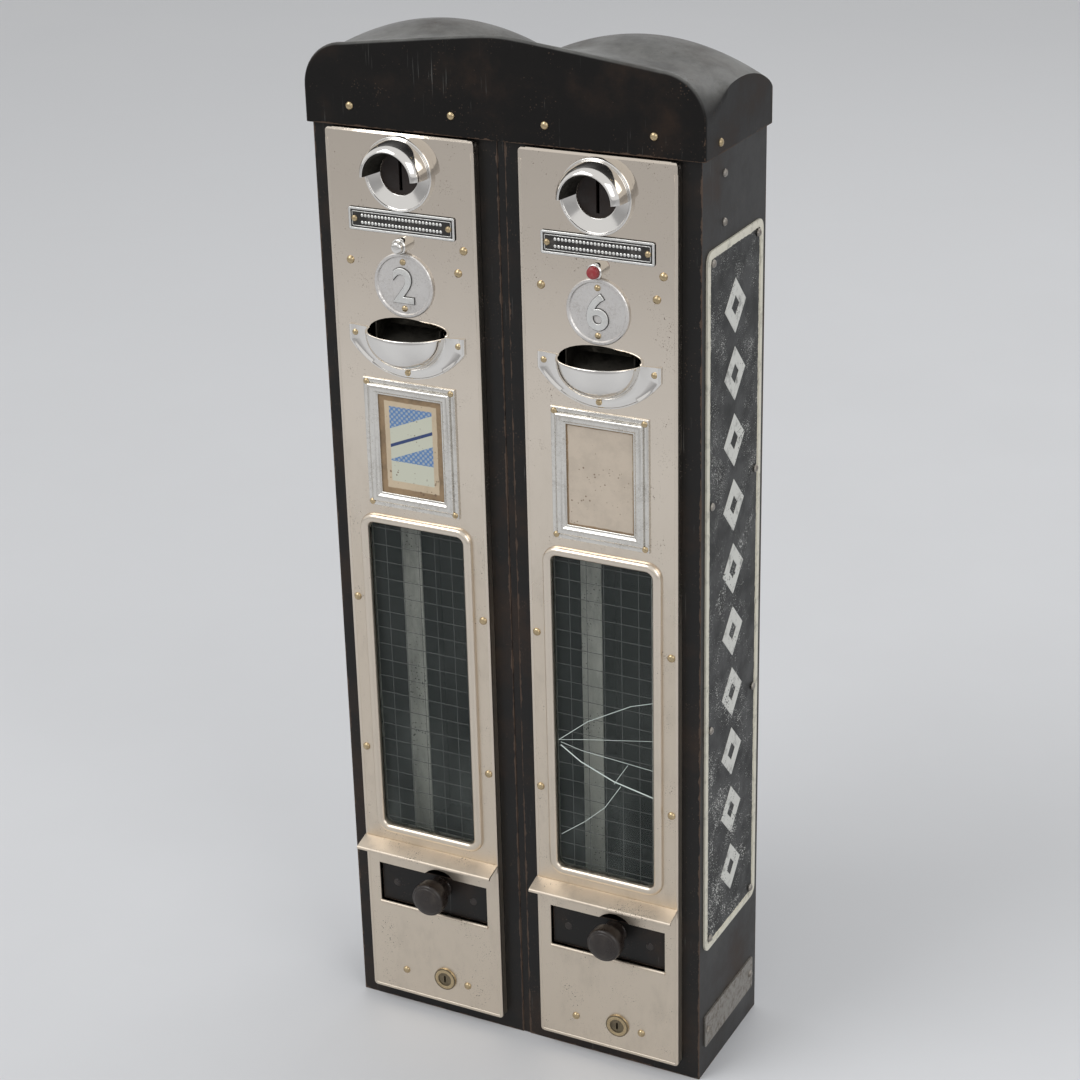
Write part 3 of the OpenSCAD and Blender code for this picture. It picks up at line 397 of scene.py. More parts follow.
class Graph:
    """Adds and links the nodes of one shader tree."""

    def __init__(self, tree: Tree, shared: "SharedEffects | None" = None) -> None:
        """Starts on an empty tree.

        Args:
            tree: The tree.
            shared: The shared node groups that it may use.
        """
        self.tree = tree
        self.shared = shared
        tree.nodes.clear()

    def node(self, kind: str, inputs: dict[Any, Any] | None = None, **settings: Any) -> bpy.types.Node:
        """Adds a node.

        Args:
            kind: Blender's node type.
            inputs: Socket name or number to a value, or to a socket to link.
            settings: Properties of the node.

        Returns:
            The node.
        """
        made = self.tree.nodes.new(kind)
        for key, value in settings.items():
            setattr(made, key, value)
        for key, value in (inputs or {}).items():
            if isinstance(value, Socket):
                self.tree.links.new(value, made.inputs[key])
            else:
                made.inputs[key].default_value = value
        return made

    def place(self) -> Socket:
        """Object coordinates of the shaded point."""
        return self.node("ShaderNodeTexCoord").outputs["Object"]

    def maths(self, operation: str, first: Any, *more: Any) -> Socket:
        """One kind of sum, carried along a row of numbers or sockets.

        Args:
            operation: Blender's name for it.
            first: The first number or socket.
            more: The others, or none for a sum on one number.

        Returns:
            The result.
        """
        for value in more or (0.0,):
            first = self.node("ShaderNodeMath", {0: first, 1: value}, operation=operation).outputs[0]
        return first

    def times(self, *values: Any) -> Socket:
        """The product of all values."""
        return self.maths("MULTIPLY", *values)

    def plus(self, *values: Any) -> Socket:
        """The sum of all values."""
        return self.maths("ADD", *values)

    def minus(self, a: Any, b: Any) -> Socket:
        """The first value less the second."""
        return self.maths("SUBTRACT", a, b)

    def most(self, *values: Any) -> Socket:
        """The highest value."""
        return self.maths("MAXIMUM", *values)

    def least(self, *values: Any) -> Socket:
        """The lowest value."""
        return self.maths("MINIMUM", *values)

    def over(self, a: Any, b: Any) -> Socket:
        """1 where the first value is over the second, otherwise 0."""
        return self.maths("GREATER_THAN", a, b)

    def share(self, value: Any, low: float, high: float) -> Socket:
        """How far a value has come from low to high, evenly from 0 to 1."""
        inputs = {"Value": value, "From Min": low, "From Max": high}
        return self.node("ShaderNodeMapRange", inputs).outputs["Result"]

    def ramp(self, value: Any, ramp: Ramp) -> Socket:
        """Carries a value smoothly from one range to another, and holds it there."""
        inputs = {"Value": value, "From Min": ramp.low, "From Max": ramp.high, "To Min": ramp.to_low,
                  "To Max": ramp.to_high}
        return self.node("ShaderNodeMapRange", inputs, interpolation_type="SMOOTHSTEP").outputs["Result"]

    def mix(self, factor: Any, a: Any, b: Any) -> Socket:
        """Mixes two colours."""
        ends = [end if isinstance(end, Socket) else (*end, 1.0) for end in (a, b)]
        return self.node("ShaderNodeMix", {0: factor, 6: ends[0], 7: ends[1]}, data_type="RGBA").outputs[2]

    def noise(self, vector: Socket, grain: Grain) -> Socket:
        """Fractal noise from 0 to 1."""
        inputs = {"Vector": vector, "Scale": grain.scale, "Detail": grain.detail, "Roughness": grain.rough}
        return self.node("ShaderNodeTexNoise", inputs).outputs["Fac"]

    def wander(self, vector: Socket, grain: Grain, reach: float) -> Socket:
        """Fractal noise on both sides of 0, to at most half the reach each way."""
        return self.times(self.minus(self.noise(vector, grain), 0.5), reach)

    def axes(self, vector: Socket) -> Sequence[Socket]:
        """The three parts of a vector."""
        return self.node("ShaderNodeSeparateXYZ", {0: vector}).outputs

    def drawn_out(self, vector: Socket, share: float) -> Socket:
        """A vector with its height shortened to a share, which draws a pattern out along Z."""
        return self.node("ShaderNodeMapping", {"Vector": vector, "Scale": (1.0, 1.0, share)}).outputs[0]

    def rim(self, a: Socket, b: Socket, low: Sequence[float], high: Sequence[float]) -> Socket:
        """Distance from a rectangle's outline: the least of the distances from its four sides."""
        spans = zip((a, b), low, high)
        return self.least(*(self.least(self.minus(at, near), self.minus(far, at)) for at, near, far in spans))

    def bump(self, height: Any, depth: float, strength: float) -> Socket:
        """Normals tilted by a height of up to `depth` metres."""
        inputs = {"Height": height, "Distance": depth, "Strength": strength}
        return self.node("ShaderNodeBump", inputs).outputs[0]

    def group(self, tree: Tree, **inputs: Any) -> Socket:
        """Uses a shared group, and gives its mask."""
        return self.node("ShaderNodeGroup", inputs, node_tree=tree).outputs[0]

    def specks(self, vector: Socket, scale: float, amount: Any) -> Socket:
        """Mask of small irregular dots."""
        return self.group(self.shared.specks, Vector=vector, Scale=scale, Amount=amount)

    def scuffs(self, vector: Socket, amount: float) -> Socket:
        """Mask of fine scratches."""
        return self.group(self.shared.scuffs, Vector=vector, Amount=amount)


def shared_group(name: str, **inputs: Any) -> tuple[Tree, Graph, Sequence[Socket]]:
    """Starts a shader node group that puts out one mask.

    Args:
        name: Name of the group.
        inputs: Socket name to its default, a number or a vector.

    Returns:
        The group's tree, its graph and its group input node's outputs.
    """
    tree = bpy.data.node_groups.new(name, "ShaderNodeTree")
    for label, value in inputs.items():
        kind = "NodeSocketVector" if isinstance(value, tuple) else "NodeSocketFloat"
        tree.interface.new_socket(label, in_out="INPUT", socket_type=kind).default_value = value
    tree.interface.new_socket("Mask", in_out="OUTPUT", socket_type="NodeSocketFloat")
    graph = Graph(tree)
    return tree, graph, graph.node("NodeGroupInput").outputs


def speck_group() -> Tree:
    """Small irregular dots: cells whose middle is near, where a slow noise allows them.

    Returns:
        The group.
    """
    tree, g, (p, scale, amount, *_) = shared_group("specks", Vector=(0, 0, 0), Scale=300.0, Amount=0.3)
    cells = g.node("ShaderNodeTexVoronoi", {"Vector": p, "Scale": scale}).outputs["Distance"]
    allowed = g.ramp(g.noise(p, Grain(37.0, 5.0, 0.7)), Ramp(0.35, 0.75))
    g.node("NodeGroupOutput", {0: g.over(g.times(amount, allowed), cells)})
    return tree


def edge_group() -> Tree:
    """Nearness to a box's edges.

    It is the middle one of the distances to the box's three pairs of faces,
    frayed by noise.

    Returns:
        The group.
    """
    tree, g, (p, low, high, width, *_) = shared_group(
        "box edges", Vector=(0, 0, 0), Low=(0, 0, 0), High=(1, 1, 1), Width=0.002)
    above, below = (g.axes(g.node("ShaderNodeVectorMath", {0: a, 1: b}, operation="SUBTRACT").outputs[0])
                    for a, b in ((p, low), (high, p)))
    x, y, z = (g.least(a, b) for a, b in zip(above, below))
    median = g.most(g.least(x, y), g.least(g.most(x, y), z))
    fray = g.times(g.ramp(g.noise(p, Grain(90.0, 8.0, 0.75)), Ramp(0.35, 0.8)), width)
    g.node("NodeGroupOutput", {0: g.over(fray, median)})
    return tree


def scuff_group() -> Tree:
    """Fine scratches: thin bands of a noise that is drawn out along one direction.

    Returns:
        The group.
    """
    tree, g, (p, amount, *_) = shared_group("scuffs", Vector=(0, 0, 0), Amount=0.5)
    way = {"Vector": p, "Rotation": (0.3, 0.5, 0.2), "Scale": (900, 900, 22)}
    lines = g.noise(g.node("ShaderNodeMapping", way).outputs[0], Grain(1.0, 2.0, 0.5))
    where = g.ramp(g.noise(p, Grain(25.0, 3.0, 0.6)), Ramp(0.5, 0.7))
    g.node("NodeGroupOutput", {0: g.times(g.ramp(lines, Ramp(0.66, 0.72)), where, amount)})
    return tree


@dataclass(frozen=True)
class SharedEffects:
    """Node groups that several finishes use."""

    specks: Tree = field(default_factory=speck_group)
    edges: Tree = field(default_factory=edge_group)
    scuffs: Tree = field(default_factory=scuff_group)


@dataclass(frozen=True)
class Finish:
    """A finish: what it puts into the sockets of one Principled shader."""

    name: str

    def make(self, shared: SharedEffects) -> Material:
        """Builds the material.

        Args:
            shared: The shared node groups.

        Returns:
            The material.
        """
        made = bpy.data.materials.new(self.name)
        made.use_nodes = True
        g = Graph(made.node_tree, shared)
        shader = g.node("ShaderNodeBsdfPrincipled", self.sockets(g, g.place()))
        g.node("ShaderNodeOutputMaterial", {"Surface": shader.outputs[0]})
        return made

    def sockets(self, g: Graph, p: Socket) -> dict[str, Any]:
        """What each finish gives for itself: socket names and their values, at an object point."""
        raise NotImplementedError


@dataclass(frozen=True)
class BlackPaint(Finish):
    """Old black paint over sheet steel, browned, scuffed, and chipped along a box's edges."""

    low: Place
    high: Place
    wear: float
    # Strength of a grey film on faces that point up: dust, and a painted sheen with it.
    dust: float = 0.0
    gloss: float = 0.28
    base: Colour = (0.0085, 0.0078, 0.0075)
    brown: Colour = (0.03, 0.018, 0.012)
    chip: Colour = (0.075, 0.05, 0.036)
    # Colour of scuffs, and of the film of dust and painted sheen.
    grey: Colour = (0.2, 0.2, 0.19)
    clouds: Grain = Grain(14.0, 8.0, 0.65)
    film: Grain = Grain(30.0, 8.0, 0.7)
    fine: Grain = Grain(260.0, 4.0, 0.6)
    browned: Ramp = Ramp(0.45, 0.75)
    # How the film of dust and painted sheen grows as a face turns up.
    up_facing_dust_and_sheen: Ramp = Ramp(0.08, 0.85)
    patchy: Ramp = Ramp(0.25, 0.75, 0.3, 1.0)
    matt: Ramp = Ramp(0.3, 0.75, 0.3, 0.52)
    scuffed: float = 0.5
    speck_scale: float = 420.0
    specked: float = 0.28
    speck_depth: float = 0.55
    worn_rough: float = 0.2
    fine_rise: float = 0.35
    chip_fall: float = 0.6
    relief: float = 0.25 * MM
    strength: float = 0.6

    def sockets(self, g: Graph, p: Socket) -> dict[str, Any]:
        """Browns the paint in clouds, lays dust and a painted sheen on what faces up, and chips it to the
        metal.

        Args:
            g: Graph of the material.
            p: The shaded point.

        Returns:
            Sockets of the shader.
        """
        clouds = g.noise(p, self.clouds)
        colour = g.mix(g.ramp(clouds, self.browned), self.base, self.brown)
        colour = g.mix(g.scuffs(p, self.scuffed), colour, self.grey)
        # Dust and painted sheen: faces that point up turn grey in patches.
        if self.dust:
            up = g.axes(g.node("ShaderNodeNewGeometry").outputs["Normal"])[2]
            film = g.times(g.ramp(up, self.up_facing_dust_and_sheen), g.ramp(g.noise(p, self.film), self.patchy), self.dust)
            colour = g.mix(film, colour, self.grey)
        specks = g.specks(p, self.speck_scale, self.specked)
        edges = g.group(g.shared.edges, Vector=p, Low=self.low, High=self.high, Width=self.wear)
        worn = g.most(edges, g.times(specks, self.speck_depth))
        rough = g.plus(g.ramp(clouds, self.matt), g.times(worn, self.worn_rough))
        height = g.minus(g.times(g.noise(p, self.fine), self.fine_rise), g.times(worn, self.chip_fall))
        return {"Base Color": g.mix(worn, colour, self.chip), "Roughness": rough,
                "Specular IOR Level": self.gloss, "Normal": g.bump(height, self.relief, self.strength)}


@dataclass(frozen=True)
class Nickel(Finish):
    """Nickel plate: bright where it is high on the front, dull, warm and speckled lower down."""

    dull_z: float
    bright_z: float
    bright_rough: float
    dull_rough: float
    specked: float
    colour: Colour = (0.725, 0.65, 0.56)
    warm: Colour = (0.68, 0.6, 0.5)
    dirt: Colour = (0.16, 0.13, 0.1)
    smear: Grain = Grain(22.0, 6.0, 0.6)
    blotch: Grain = Grain(55.0, 6.0, 0.68)
    wave: Grain = Grain(9.0, 2.0)
    pits: Grain = Grain(700.0, 2.0)
    blotched: Ramp = Ramp(0.46, 0.74)
    fading: Ramp = Ramp(0.0, 1.0, 0.45, 0.06)
    smear_draw: float = 0.35
    smear_reach: float = 0.22
    smear_haze: float = 0.12
    blotch_draw: float = 0.5
    blotch_gain: float = 4.5
    blotch_shade: float = 0.7
    speck_scale: float = 330.0
    grit_scale: float = 800.0
    grit_gain: float = 1.6
    grit_depth: float = 0.6
    scuffed: float = 0.35
    haze: float = 0.28
    mark_rough: float = 0.3
    mark_cover: float = 0.75
    mark_fall: float = 0.03
    pit_rise: float = 0.012
    relief: float = 0.9 * MM
    strength: float = 0.35

    def sockets(self, g: Graph, p: Socket) -> dict[str, Any]:
        """Lets the shine rise with the height, smeared, and breaks it with blotches, specks and grit.

        Args:
            g: Graph of the material.
            p: The shaded point.

        Returns:
            Sockets of the shader.
        """
        smear = g.noise(g.drawn_out(p, self.smear_draw), self.smear)
        height = g.plus(g.axes(p)[2], g.times(g.minus(smear, 0.5), self.smear_reach))
        shine = g.ramp(height, Ramp(self.dull_z, self.bright_z))
        colour = g.mix(shine, self.warm, self.colour)
        blotch = g.ramp(g.noise(g.drawn_out(p, self.blotch_draw), self.blotch), self.blotched)
        blotch = g.times(blotch, g.ramp(shine, self.fading), self.specked * self.blotch_gain)
        colour = g.mix(blotch, colour, shade(self.warm, self.blotch_shade))
        grit = g.times(g.specks(p, self.grit_scale, self.specked * self.grit_gain), self.grit_depth)
        marks = g.most(g.specks(p, self.speck_scale, self.specked), grit)
        haze = g.times(g.plus(g.scuffs(p, self.scuffed), g.times(smear, self.smear_haze)), self.haze)
        polish = g.ramp(shine, Ramp(0.0, 1.0, self.dull_rough, self.bright_rough))
        ripple = g.plus(g.noise(p, self.wave), g.times(g.noise(p, self.pits), self.pit_rise))
        relief = g.minus(ripple, g.times(marks, self.mark_fall))
        return {"Base Color": g.mix(marks, colour, self.dirt),
                "Metallic": g.minus(1.0, g.times(marks, self.mark_cover)),
                "Roughness": g.plus(polish, haze, g.times(marks, self.mark_rough)),
                "Normal": g.bump(relief, self.relief, self.strength)}


@dataclass(frozen=True)
class BareMetal(Finish):
    """Unpainted metal with tarnish in clouds and grains."""

    colour: Colour
    tarnish: Colour
    rough: float
    tarnished: float = 0.5
    grain: float = 240.0
    relief: float = 0.24 * MM
    clouds: Grain = Grain(60.0, 6.0, 0.65)
    grain_detail: float = 5.0
    grain_rough: float = 0.65
    spread: Ramp = Ramp(0.35, 0.7)
    smooth: float = 0.75
    coarse: float = 1.3
    speck_scale: float = 700.0
    specked: float = 0.35
    dark_rough: float = 0.25
    dark_cover: float = 0.5
    strength: float = 0.5

    def sockets(self, g: Graph, p: Socket) -> dict[str, Any]:
        """Tarnishes the metal where clouds and grains meet, and in specks.

        Args:
            g: Graph of the material.
            p: The shaded point.

        Returns:
            Sockets of the shader.
        """
        clouds = g.ramp(g.noise(p, self.clouds), self.spread)
        grains = g.noise(p, Grain(self.grain, self.grain_detail, self.grain_rough))
        marks = g.times(clouds, g.ramp(grains, self.spread), self.tarnished)
        specks = g.times(g.specks(p, self.speck_scale, self.specked), self.tarnished)
        dark = g.most(marks, specks)
        rough = g.ramp(grains, Ramp(0.3, 0.75, self.rough * self.smooth, self.rough * self.coarse))
        return {"Base Color": g.mix(dark, self.colour, self.tarnish),
                "Metallic": g.minus(1.0, g.times(dark, self.dark_cover)),
                "Roughness": g.plus(rough, g.times(dark, self.dark_rough)),
                "Normal": g.bump(grains, self.relief, self.strength)}


@dataclass(frozen=True)
class Moulded(Finish):
    """Moulded resin or fibre with handled, dusty patches."""

    colour: Colour
    faded: Colour
    rough: float
    clouds: Grain = Grain(120.0, 6.0, 0.65)
    skin: Grain = Grain(900.0, 3.0)
    handled: Ramp = Ramp(0.45, 0.8, 0.0, 0.7)
    scuffed: float = 0.6
    dusty_rough: float = 0.25
    relief: float = 0.1 * MM
    strength: float = 0.4

    def sockets(self, g: Graph, p: Socket) -> dict[str, Any]:
        """Fades the colour in clouds and scuffs.

        Args:
            g: Graph of the material.
            p: The shaded point.

        Returns:
            Sockets of the shader.
        """
        clouds = g.noise(p, self.clouds)
        worn = g.most(g.ramp(clouds, self.handled), g.scuffs(p, self.scuffed))
        return {"Base Color": g.mix(worn, self.colour, self.faded),
                "Roughness": g.ramp(clouds, Ramp(0.3, 0.7, self.rough, self.rough + self.dusty_rough)),
                "Normal": g.bump(g.noise(p, self.skin), self.relief, self.strength)}


@dataclass(frozen=True)
class DustyGlass(Finish):
    """Greenish glass with a film of dust that is thicker low down."""

    low_z: float
    high_z: float
    tint: Colour = (0.03, 0.045, 0.04)
    film: Colour = (0.2, 0.23, 0.21)
    clouds: Grain = Grain(40.0, 6.0, 0.6)
    patchy: Ramp = Ramp(0.3, 0.75)
    cover: Ramp = Ramp(0.0, 1.0, 0.16, 0.45)
    matt: Ramp = Ramp(0.0, 1.0, 0.03, 0.3)
    cloud_draw: float = 0.4
    foot_dust: float = 0.4
    head_dust: float = 0.12
    speck_scale: float = 500.0
    specked: float = 0.25
    speck_dust: float = 0.25
    ior: float = 1.9

    def sockets(self, g: Graph, p: Socket) -> dict[str, Any]:
        """Thickens the dust towards the foot, in clouds and specks, and makes the glass less clear there.

        Args:
            g: Graph of the material.
            p: The shaded point.

        Returns:
            Sockets of the shader.
        """
        clouds = g.ramp(g.noise(g.drawn_out(p, self.cloud_draw), self.clouds), self.patchy)
        low = g.ramp(g.axes(p)[2], Ramp(self.low_z, self.high_z, self.foot_dust, self.head_dust))
        specks = g.times(g.specks(p, self.speck_scale, self.specked), self.speck_dust)
        dust = g.plus(g.times(clouds, low), specks)
        return {"Base Color": g.mix(dust, self.tint, self.film), "Alpha": g.ramp(dust, self.cover),
                "Roughness": g.ramp(dust, self.matt), "IOR": self.ior}


@dataclass(frozen=True)
class ZincSheet(Finish):
    """Zinc sheet of a packet channel: pale on its front lips, which are specked with grime and paler towards
    the top as a painted highlight; painted shade makes it near black in its depth.
    """

    lip_y: float
    pale: Colour = (0.7, 0.72, 0.63)
    # Paler colour for the painted highlight towards the top of the lips.
    top: Colour = (0.86, 0.88, 0.79)
    # Near black: the colour of the grime specks on the lips and of the painted shade in the depth.
    grime_and_painted_shade: Colour = (0.018, 0.02, 0.018)
    clouds: Grain = Grain(60.0, 6.0, 0.65)
    # Heights over which the painted highlight rises on the lips.
    height: Ramp = Ramp(0.2, 0.43)
    patchy: Ramp = Ramp(0.4, 0.75)
    matt: Ramp = Ramp(0.3, 0.7, 0.4, 0.6)
    cloud_draw: float = 0.3
    cloud_shade: float = 0.6
    lip_t: float = 1.4 * MM
    lip_soft: float = 0.2
    speck_scale: float = 420.0
    specked: float = 0.3

    def sockets(self, g: Graph, p: Socket) -> dict[str, Any]:
        """Pales the lips towards the top, as a painted highlight. The painted shade starts one lip's
        thickness behind the front.

        Args:
            g: Graph of the material.
            p: The shaded point.

        Returns:
            Sockets of the shader.
        """
        _, y, z = g.axes(p)
        clouds = g.noise(g.drawn_out(p, self.cloud_draw), self.clouds)
        # Painted highlight: the lips turn paler towards the top.
        lip = g.mix(g.ramp(z, self.height), self.pale, self.top)
        lip = g.mix(g.ramp(clouds, self.patchy), lip, shade(self.pale, self.cloud_shade))
        lip = g.mix(g.specks(p, self.speck_scale, self.specked), lip, self.grime_and_painted_shade)
        back, soft = self.lip_y + self.lip_t, self.lip_soft * self.lip_t
        # Painted shade: behind the lips the sheet turns near black.
        depth = g.ramp(y, Ramp(back - soft, back + soft))
        return {"Base Color": g.mix(depth, lip, self.grime_and_painted_shade), "Roughness": g.ramp(clouds, self.matt)}


class CardDesign(Enum):
    """What the two cards carry."""

    BANDS = "slanted blue bands"
    BARE = "bare and stained"


@dataclass(frozen=True)
class CardPrint(Finish):
    """Old card with a stained margin: slanted blue bands on pale paper, or bare."""

    design: CardDesign
    low: Place
    high: Place
    cream: Colour
    margin: float
    brown: Colour = (0.29, 0.19, 0.1)
    paper: Colour = (0.56, 0.57, 0.47)
    blue: Colour = (0.11, 0.22, 0.44)
    navy: Colour = (0.03, 0.055, 0.16)
    stain: Colour = (0.16, 0.1, 0.06)
    side: float = 10.3 * MM
    foot: float = 12 * MM
    clouds: Grain = Grain(70.0, 6.0, 0.7)
    ragged: Grain = Grain(140.0, 6.0, 0.7)
    fibres: Grain = Grain(500.0)
    fray: float = 2.2 * MM
    soft: float = 0.3 * MM
    slope: float = -0.25
    head: float = 0.7
    line: float = 0.47
    line_half: float = 0.022
    wedge_foot: float = 0.27
    wedge_head: float = 0.29
    weave: float = 1500.0
    weave_gap: float = 0.1
    weave_ink: float = 0.5
    yellowed: Ramp = Ramp(0.4, 0.7)
    yellow_shade: float = 0.88
    browned: Ramp = Ramp(0.35, 0.7)
    brown_shade: float = 0.6
    brown_cover: float = 0.9
    spot_scale: float = 300.0
    foot_spots: float = 0.42
    head_spots: float = 0.12
    spot_cover: float = 0.8
    rough: float = 0.5
    relief: float = 0.1 * MM
    strength: float = 0.3

    def sockets(self, g: Graph, p: Socket) -> dict[str, Any]:
        """Stains the card's margin, which is what lies near its outline, and spots it more towards the foot.

        Args:
            g: Graph of the material.
            p: The shaded point.

        Returns:
            Sockets of the shader.
        """
        x, _, z = g.axes(p)
        rim = g.rim(x, z, self.low[::2], self.high[::2])
        clouds = g.noise(p, self.clouds)
        colour = g.mix(g.ramp(clouds, self.yellowed), self.cream, shade(self.cream, self.yellow_shade))
        if self.design is CardDesign.BANDS:
            colour = self.bands(g, rim, x, z, colour)
        edge = g.plus(rim, g.wander(p, self.ragged, self.fray))
        stained = g.ramp(edge, Ramp(self.margin + self.soft, self.margin - self.soft))
        brown = g.mix(g.ramp(clouds, self.browned), self.brown, shade(self.brown, self.brown_shade))
        colour = g.mix(g.times(stained, self.brown_cover), colour, brown)
        amount = g.ramp(z, Ramp(self.low[2], self.high[2], self.foot_spots, self.head_spots))
        spots = g.times(g.specks(p, self.spot_scale, amount), self.spot_cover)
        return {"Base Color": g.mix(spots, colour, self.stain), "Roughness": self.rough,
                "Normal": g.bump(g.noise(p, self.fibres), self.relief, self.strength)}

    def bands(self, g: Graph, rim: Socket, x: Socket, z: Socket, colour: Socket) -> Socket:
        """Slanted bands on pale paper. Shares run from 0 to 1 across the printed area and up it.

        Args:
            g: Graph of the material.
            rim: Distance from the card's outline.
            x: Place across the card.
            z: Place up the card.
            colour: Colour of the plain card.

        Returns:
            Colour of the printed card.
        """
        across = g.share(x, self.low[0] + self.side, self.high[0] - self.side)
        up = g.share(z, self.low[2] + self.foot, self.high[2] - self.side)
        slant = g.plus(g.times(across, self.slope), up)
        wedge = g.times(g.over(up, self.wedge_foot), g.over(self.wedge_head, slant))
        line = g.over(self.line_half, g.maths("ABSOLUTE", g.minus(slant, self.line)))
        waves = [g.maths("SINE", g.times(place, self.weave)) for place in (x, z)]
        weave = g.times(g.over(g.times(*waves), self.weave_gap), self.weave_ink)
        block = g.mix(weave, self.blue, self.paper)
        printed = g.mix(g.most(g.over(slant, self.head), wedge), self.paper, block)
        printed = g.mix(line, printed, self.navy)
        area = g.times(g.over(rim, self.side), g.over(up, 0.0))
        return g.mix(area, colour, printed)


@dataclass(frozen=True)
class SignEnamel(Finish):
    """Black enamel with a cream border, speckled with pale chips."""

    low: Place
    high: Place
    border: float = 6.3 * MM
    black: Colour = (0.009, 0.0095, 0.009)
    cream: Colour = (0.72, 0.69, 0.58)
    grey: Colour = (0.6, 0.6, 0.57)
    ragged: Grain = Grain(160.0, 6.0, 0.7)
    dirt: Grain = Grain(85.0, 8.0, 0.75)
    clouds: Grain = Grain(50.0, 5.0)
    skin: Grain = Grain(320.0, 5.0)
    dirty: Ramp = Ramp(0.48, 0.76)
    matt: Ramp = Ramp(0.3, 0.7, 0.28, 0.5)
    fray: float = 3.5 * MM
    chip_scale: float = 520.0
    foot_chips: float = 0.42
    head_chips: float = 0.26
    grit_scale: float = 1100.0
    gritty: float = 0.36
    grit_depth: float = 0.8
    dirt_shade: float = 0.4
    gloss: float = 0.3
    relief: float = 0.2 * MM
    strength: float = 0.5

    def sockets(self, g: Graph, p: Socket) -> dict[str, Any]:
        """Paints the border, which is what lies near the plate's outline, and chips the field.

        Args:
            g: Graph of the material.
            p: The shaded point.

        Returns:
            Sockets of the shader.
        """
        _, y, z = g.axes(p)
        depth = g.rim(y, z, self.low[1:], self.high[1:])
        ring = g.over(self.border, g.plus(depth, g.wander(p, self.ragged, self.fray)))
        amount = g.ramp(z, Ramp(self.low[2], self.high[2], self.foot_chips, self.head_chips))
        grit = g.times(g.specks(p, self.grit_scale, self.gritty), self.grit_depth)
        chips = g.most(g.specks(p, self.chip_scale, amount), grit)
        field_colour = g.mix(chips, self.black, self.grey)
        dirty = g.ramp(g.noise(p, self.dirt), self.dirty)
        border = g.mix(dirty, self.cream, shade(self.cream, self.dirt_shade))
        return {"Base Color": g.mix(ring, field_colour, border),
                "Roughness": g.ramp(g.noise(p, self.clouds), self.matt), "Specular IOR Level": self.gloss,
                "Normal": g.bump(g.noise(p, self.skin), self.relief, self.strength)}


@dataclass(frozen=True)
class PalePaint(Finish):
    """Cream paint that has rubbed thin, for the sign's ornament."""

    colour: Colour = (0.66, 0.66, 0.62)
    under: Colour = (0.06, 0.06, 0.055)
    clouds: Grain = Grain(95.0, 8.0, 0.75)
    skin: Grain = Grain(300.0, 5.0)
    thin: Ramp = Ramp(0.5, 0.72)
    rubbed: float = 0.7
    chip_scale: float = 420.0
    chipped: float = 0.4
    rough: float = 0.45
    relief: float = 0.2 * MM
    strength: float = 0.4

    def sockets(self, g: Graph, p: Socket) -> dict[str, Any]:
        """Rubs the paint thin in clouds and chips it.

        Args:
            g: Graph of the material.
            p: The shaded point.

        Returns:
            Sockets of the shader.
        """
        rubbed = g.times(g.ramp(g.noise(p, self.clouds), self.thin), self.rubbed)
        bare = g.most(rubbed, g.specks(p, self.chip_scale, self.chipped))
        return {"Base Color": g.mix(bare, self.colour, self.under), "Roughness": self.rough,
                "Normal": g.bump(g.noise(p, self.skin), self.relief, self.strength)}


@dataclass(frozen=True)
class PaleFloor(Finish):
    """Plain pale floor with a painted falloff of light: it turns softly darker well in front of the machine.
    """

    near: Colour = (0.66, 0.67, 0.69)
    # Colour far in front: painted falloff of light.
    far: Colour = (0.46, 0.46, 0.47)
    cloud_shade: float = 0.97
    clouds: Grain = Grain(3.0, 6.0, 0.6)
    patchy: Ramp = Ramp(0.3, 0.7)
    light_falloff: Ramp = Ramp(-1.15, -2.2)
    matt: Ramp = Ramp(0.0, 1.0, 0.42, 0.5)

    def sockets(self, g: Graph, p: Socket) -> dict[str, Any]:
        """Varies the tone a little in clouds, and makes it darker with the distance in front, as a painted
        falloff of light.

        Args:
            g: Graph of the material.
            p: The shaded point.

        Returns:
            Sockets of the shader.
        """
        tone = g.ramp(g.noise(p, self.clouds), self.patchy)
        colour = g.mix(tone, shade(self.near, self.cloud_shade), self.near)
        # Painted falloff of light: the floor turns darker with the distance in front.
        colour = g.mix(g.ramp(g.axes(p)[1], self.light_falloff), colour, self.far)
        return {"Base Color": colour, "Roughness": g.ramp(tone, self.matt)}


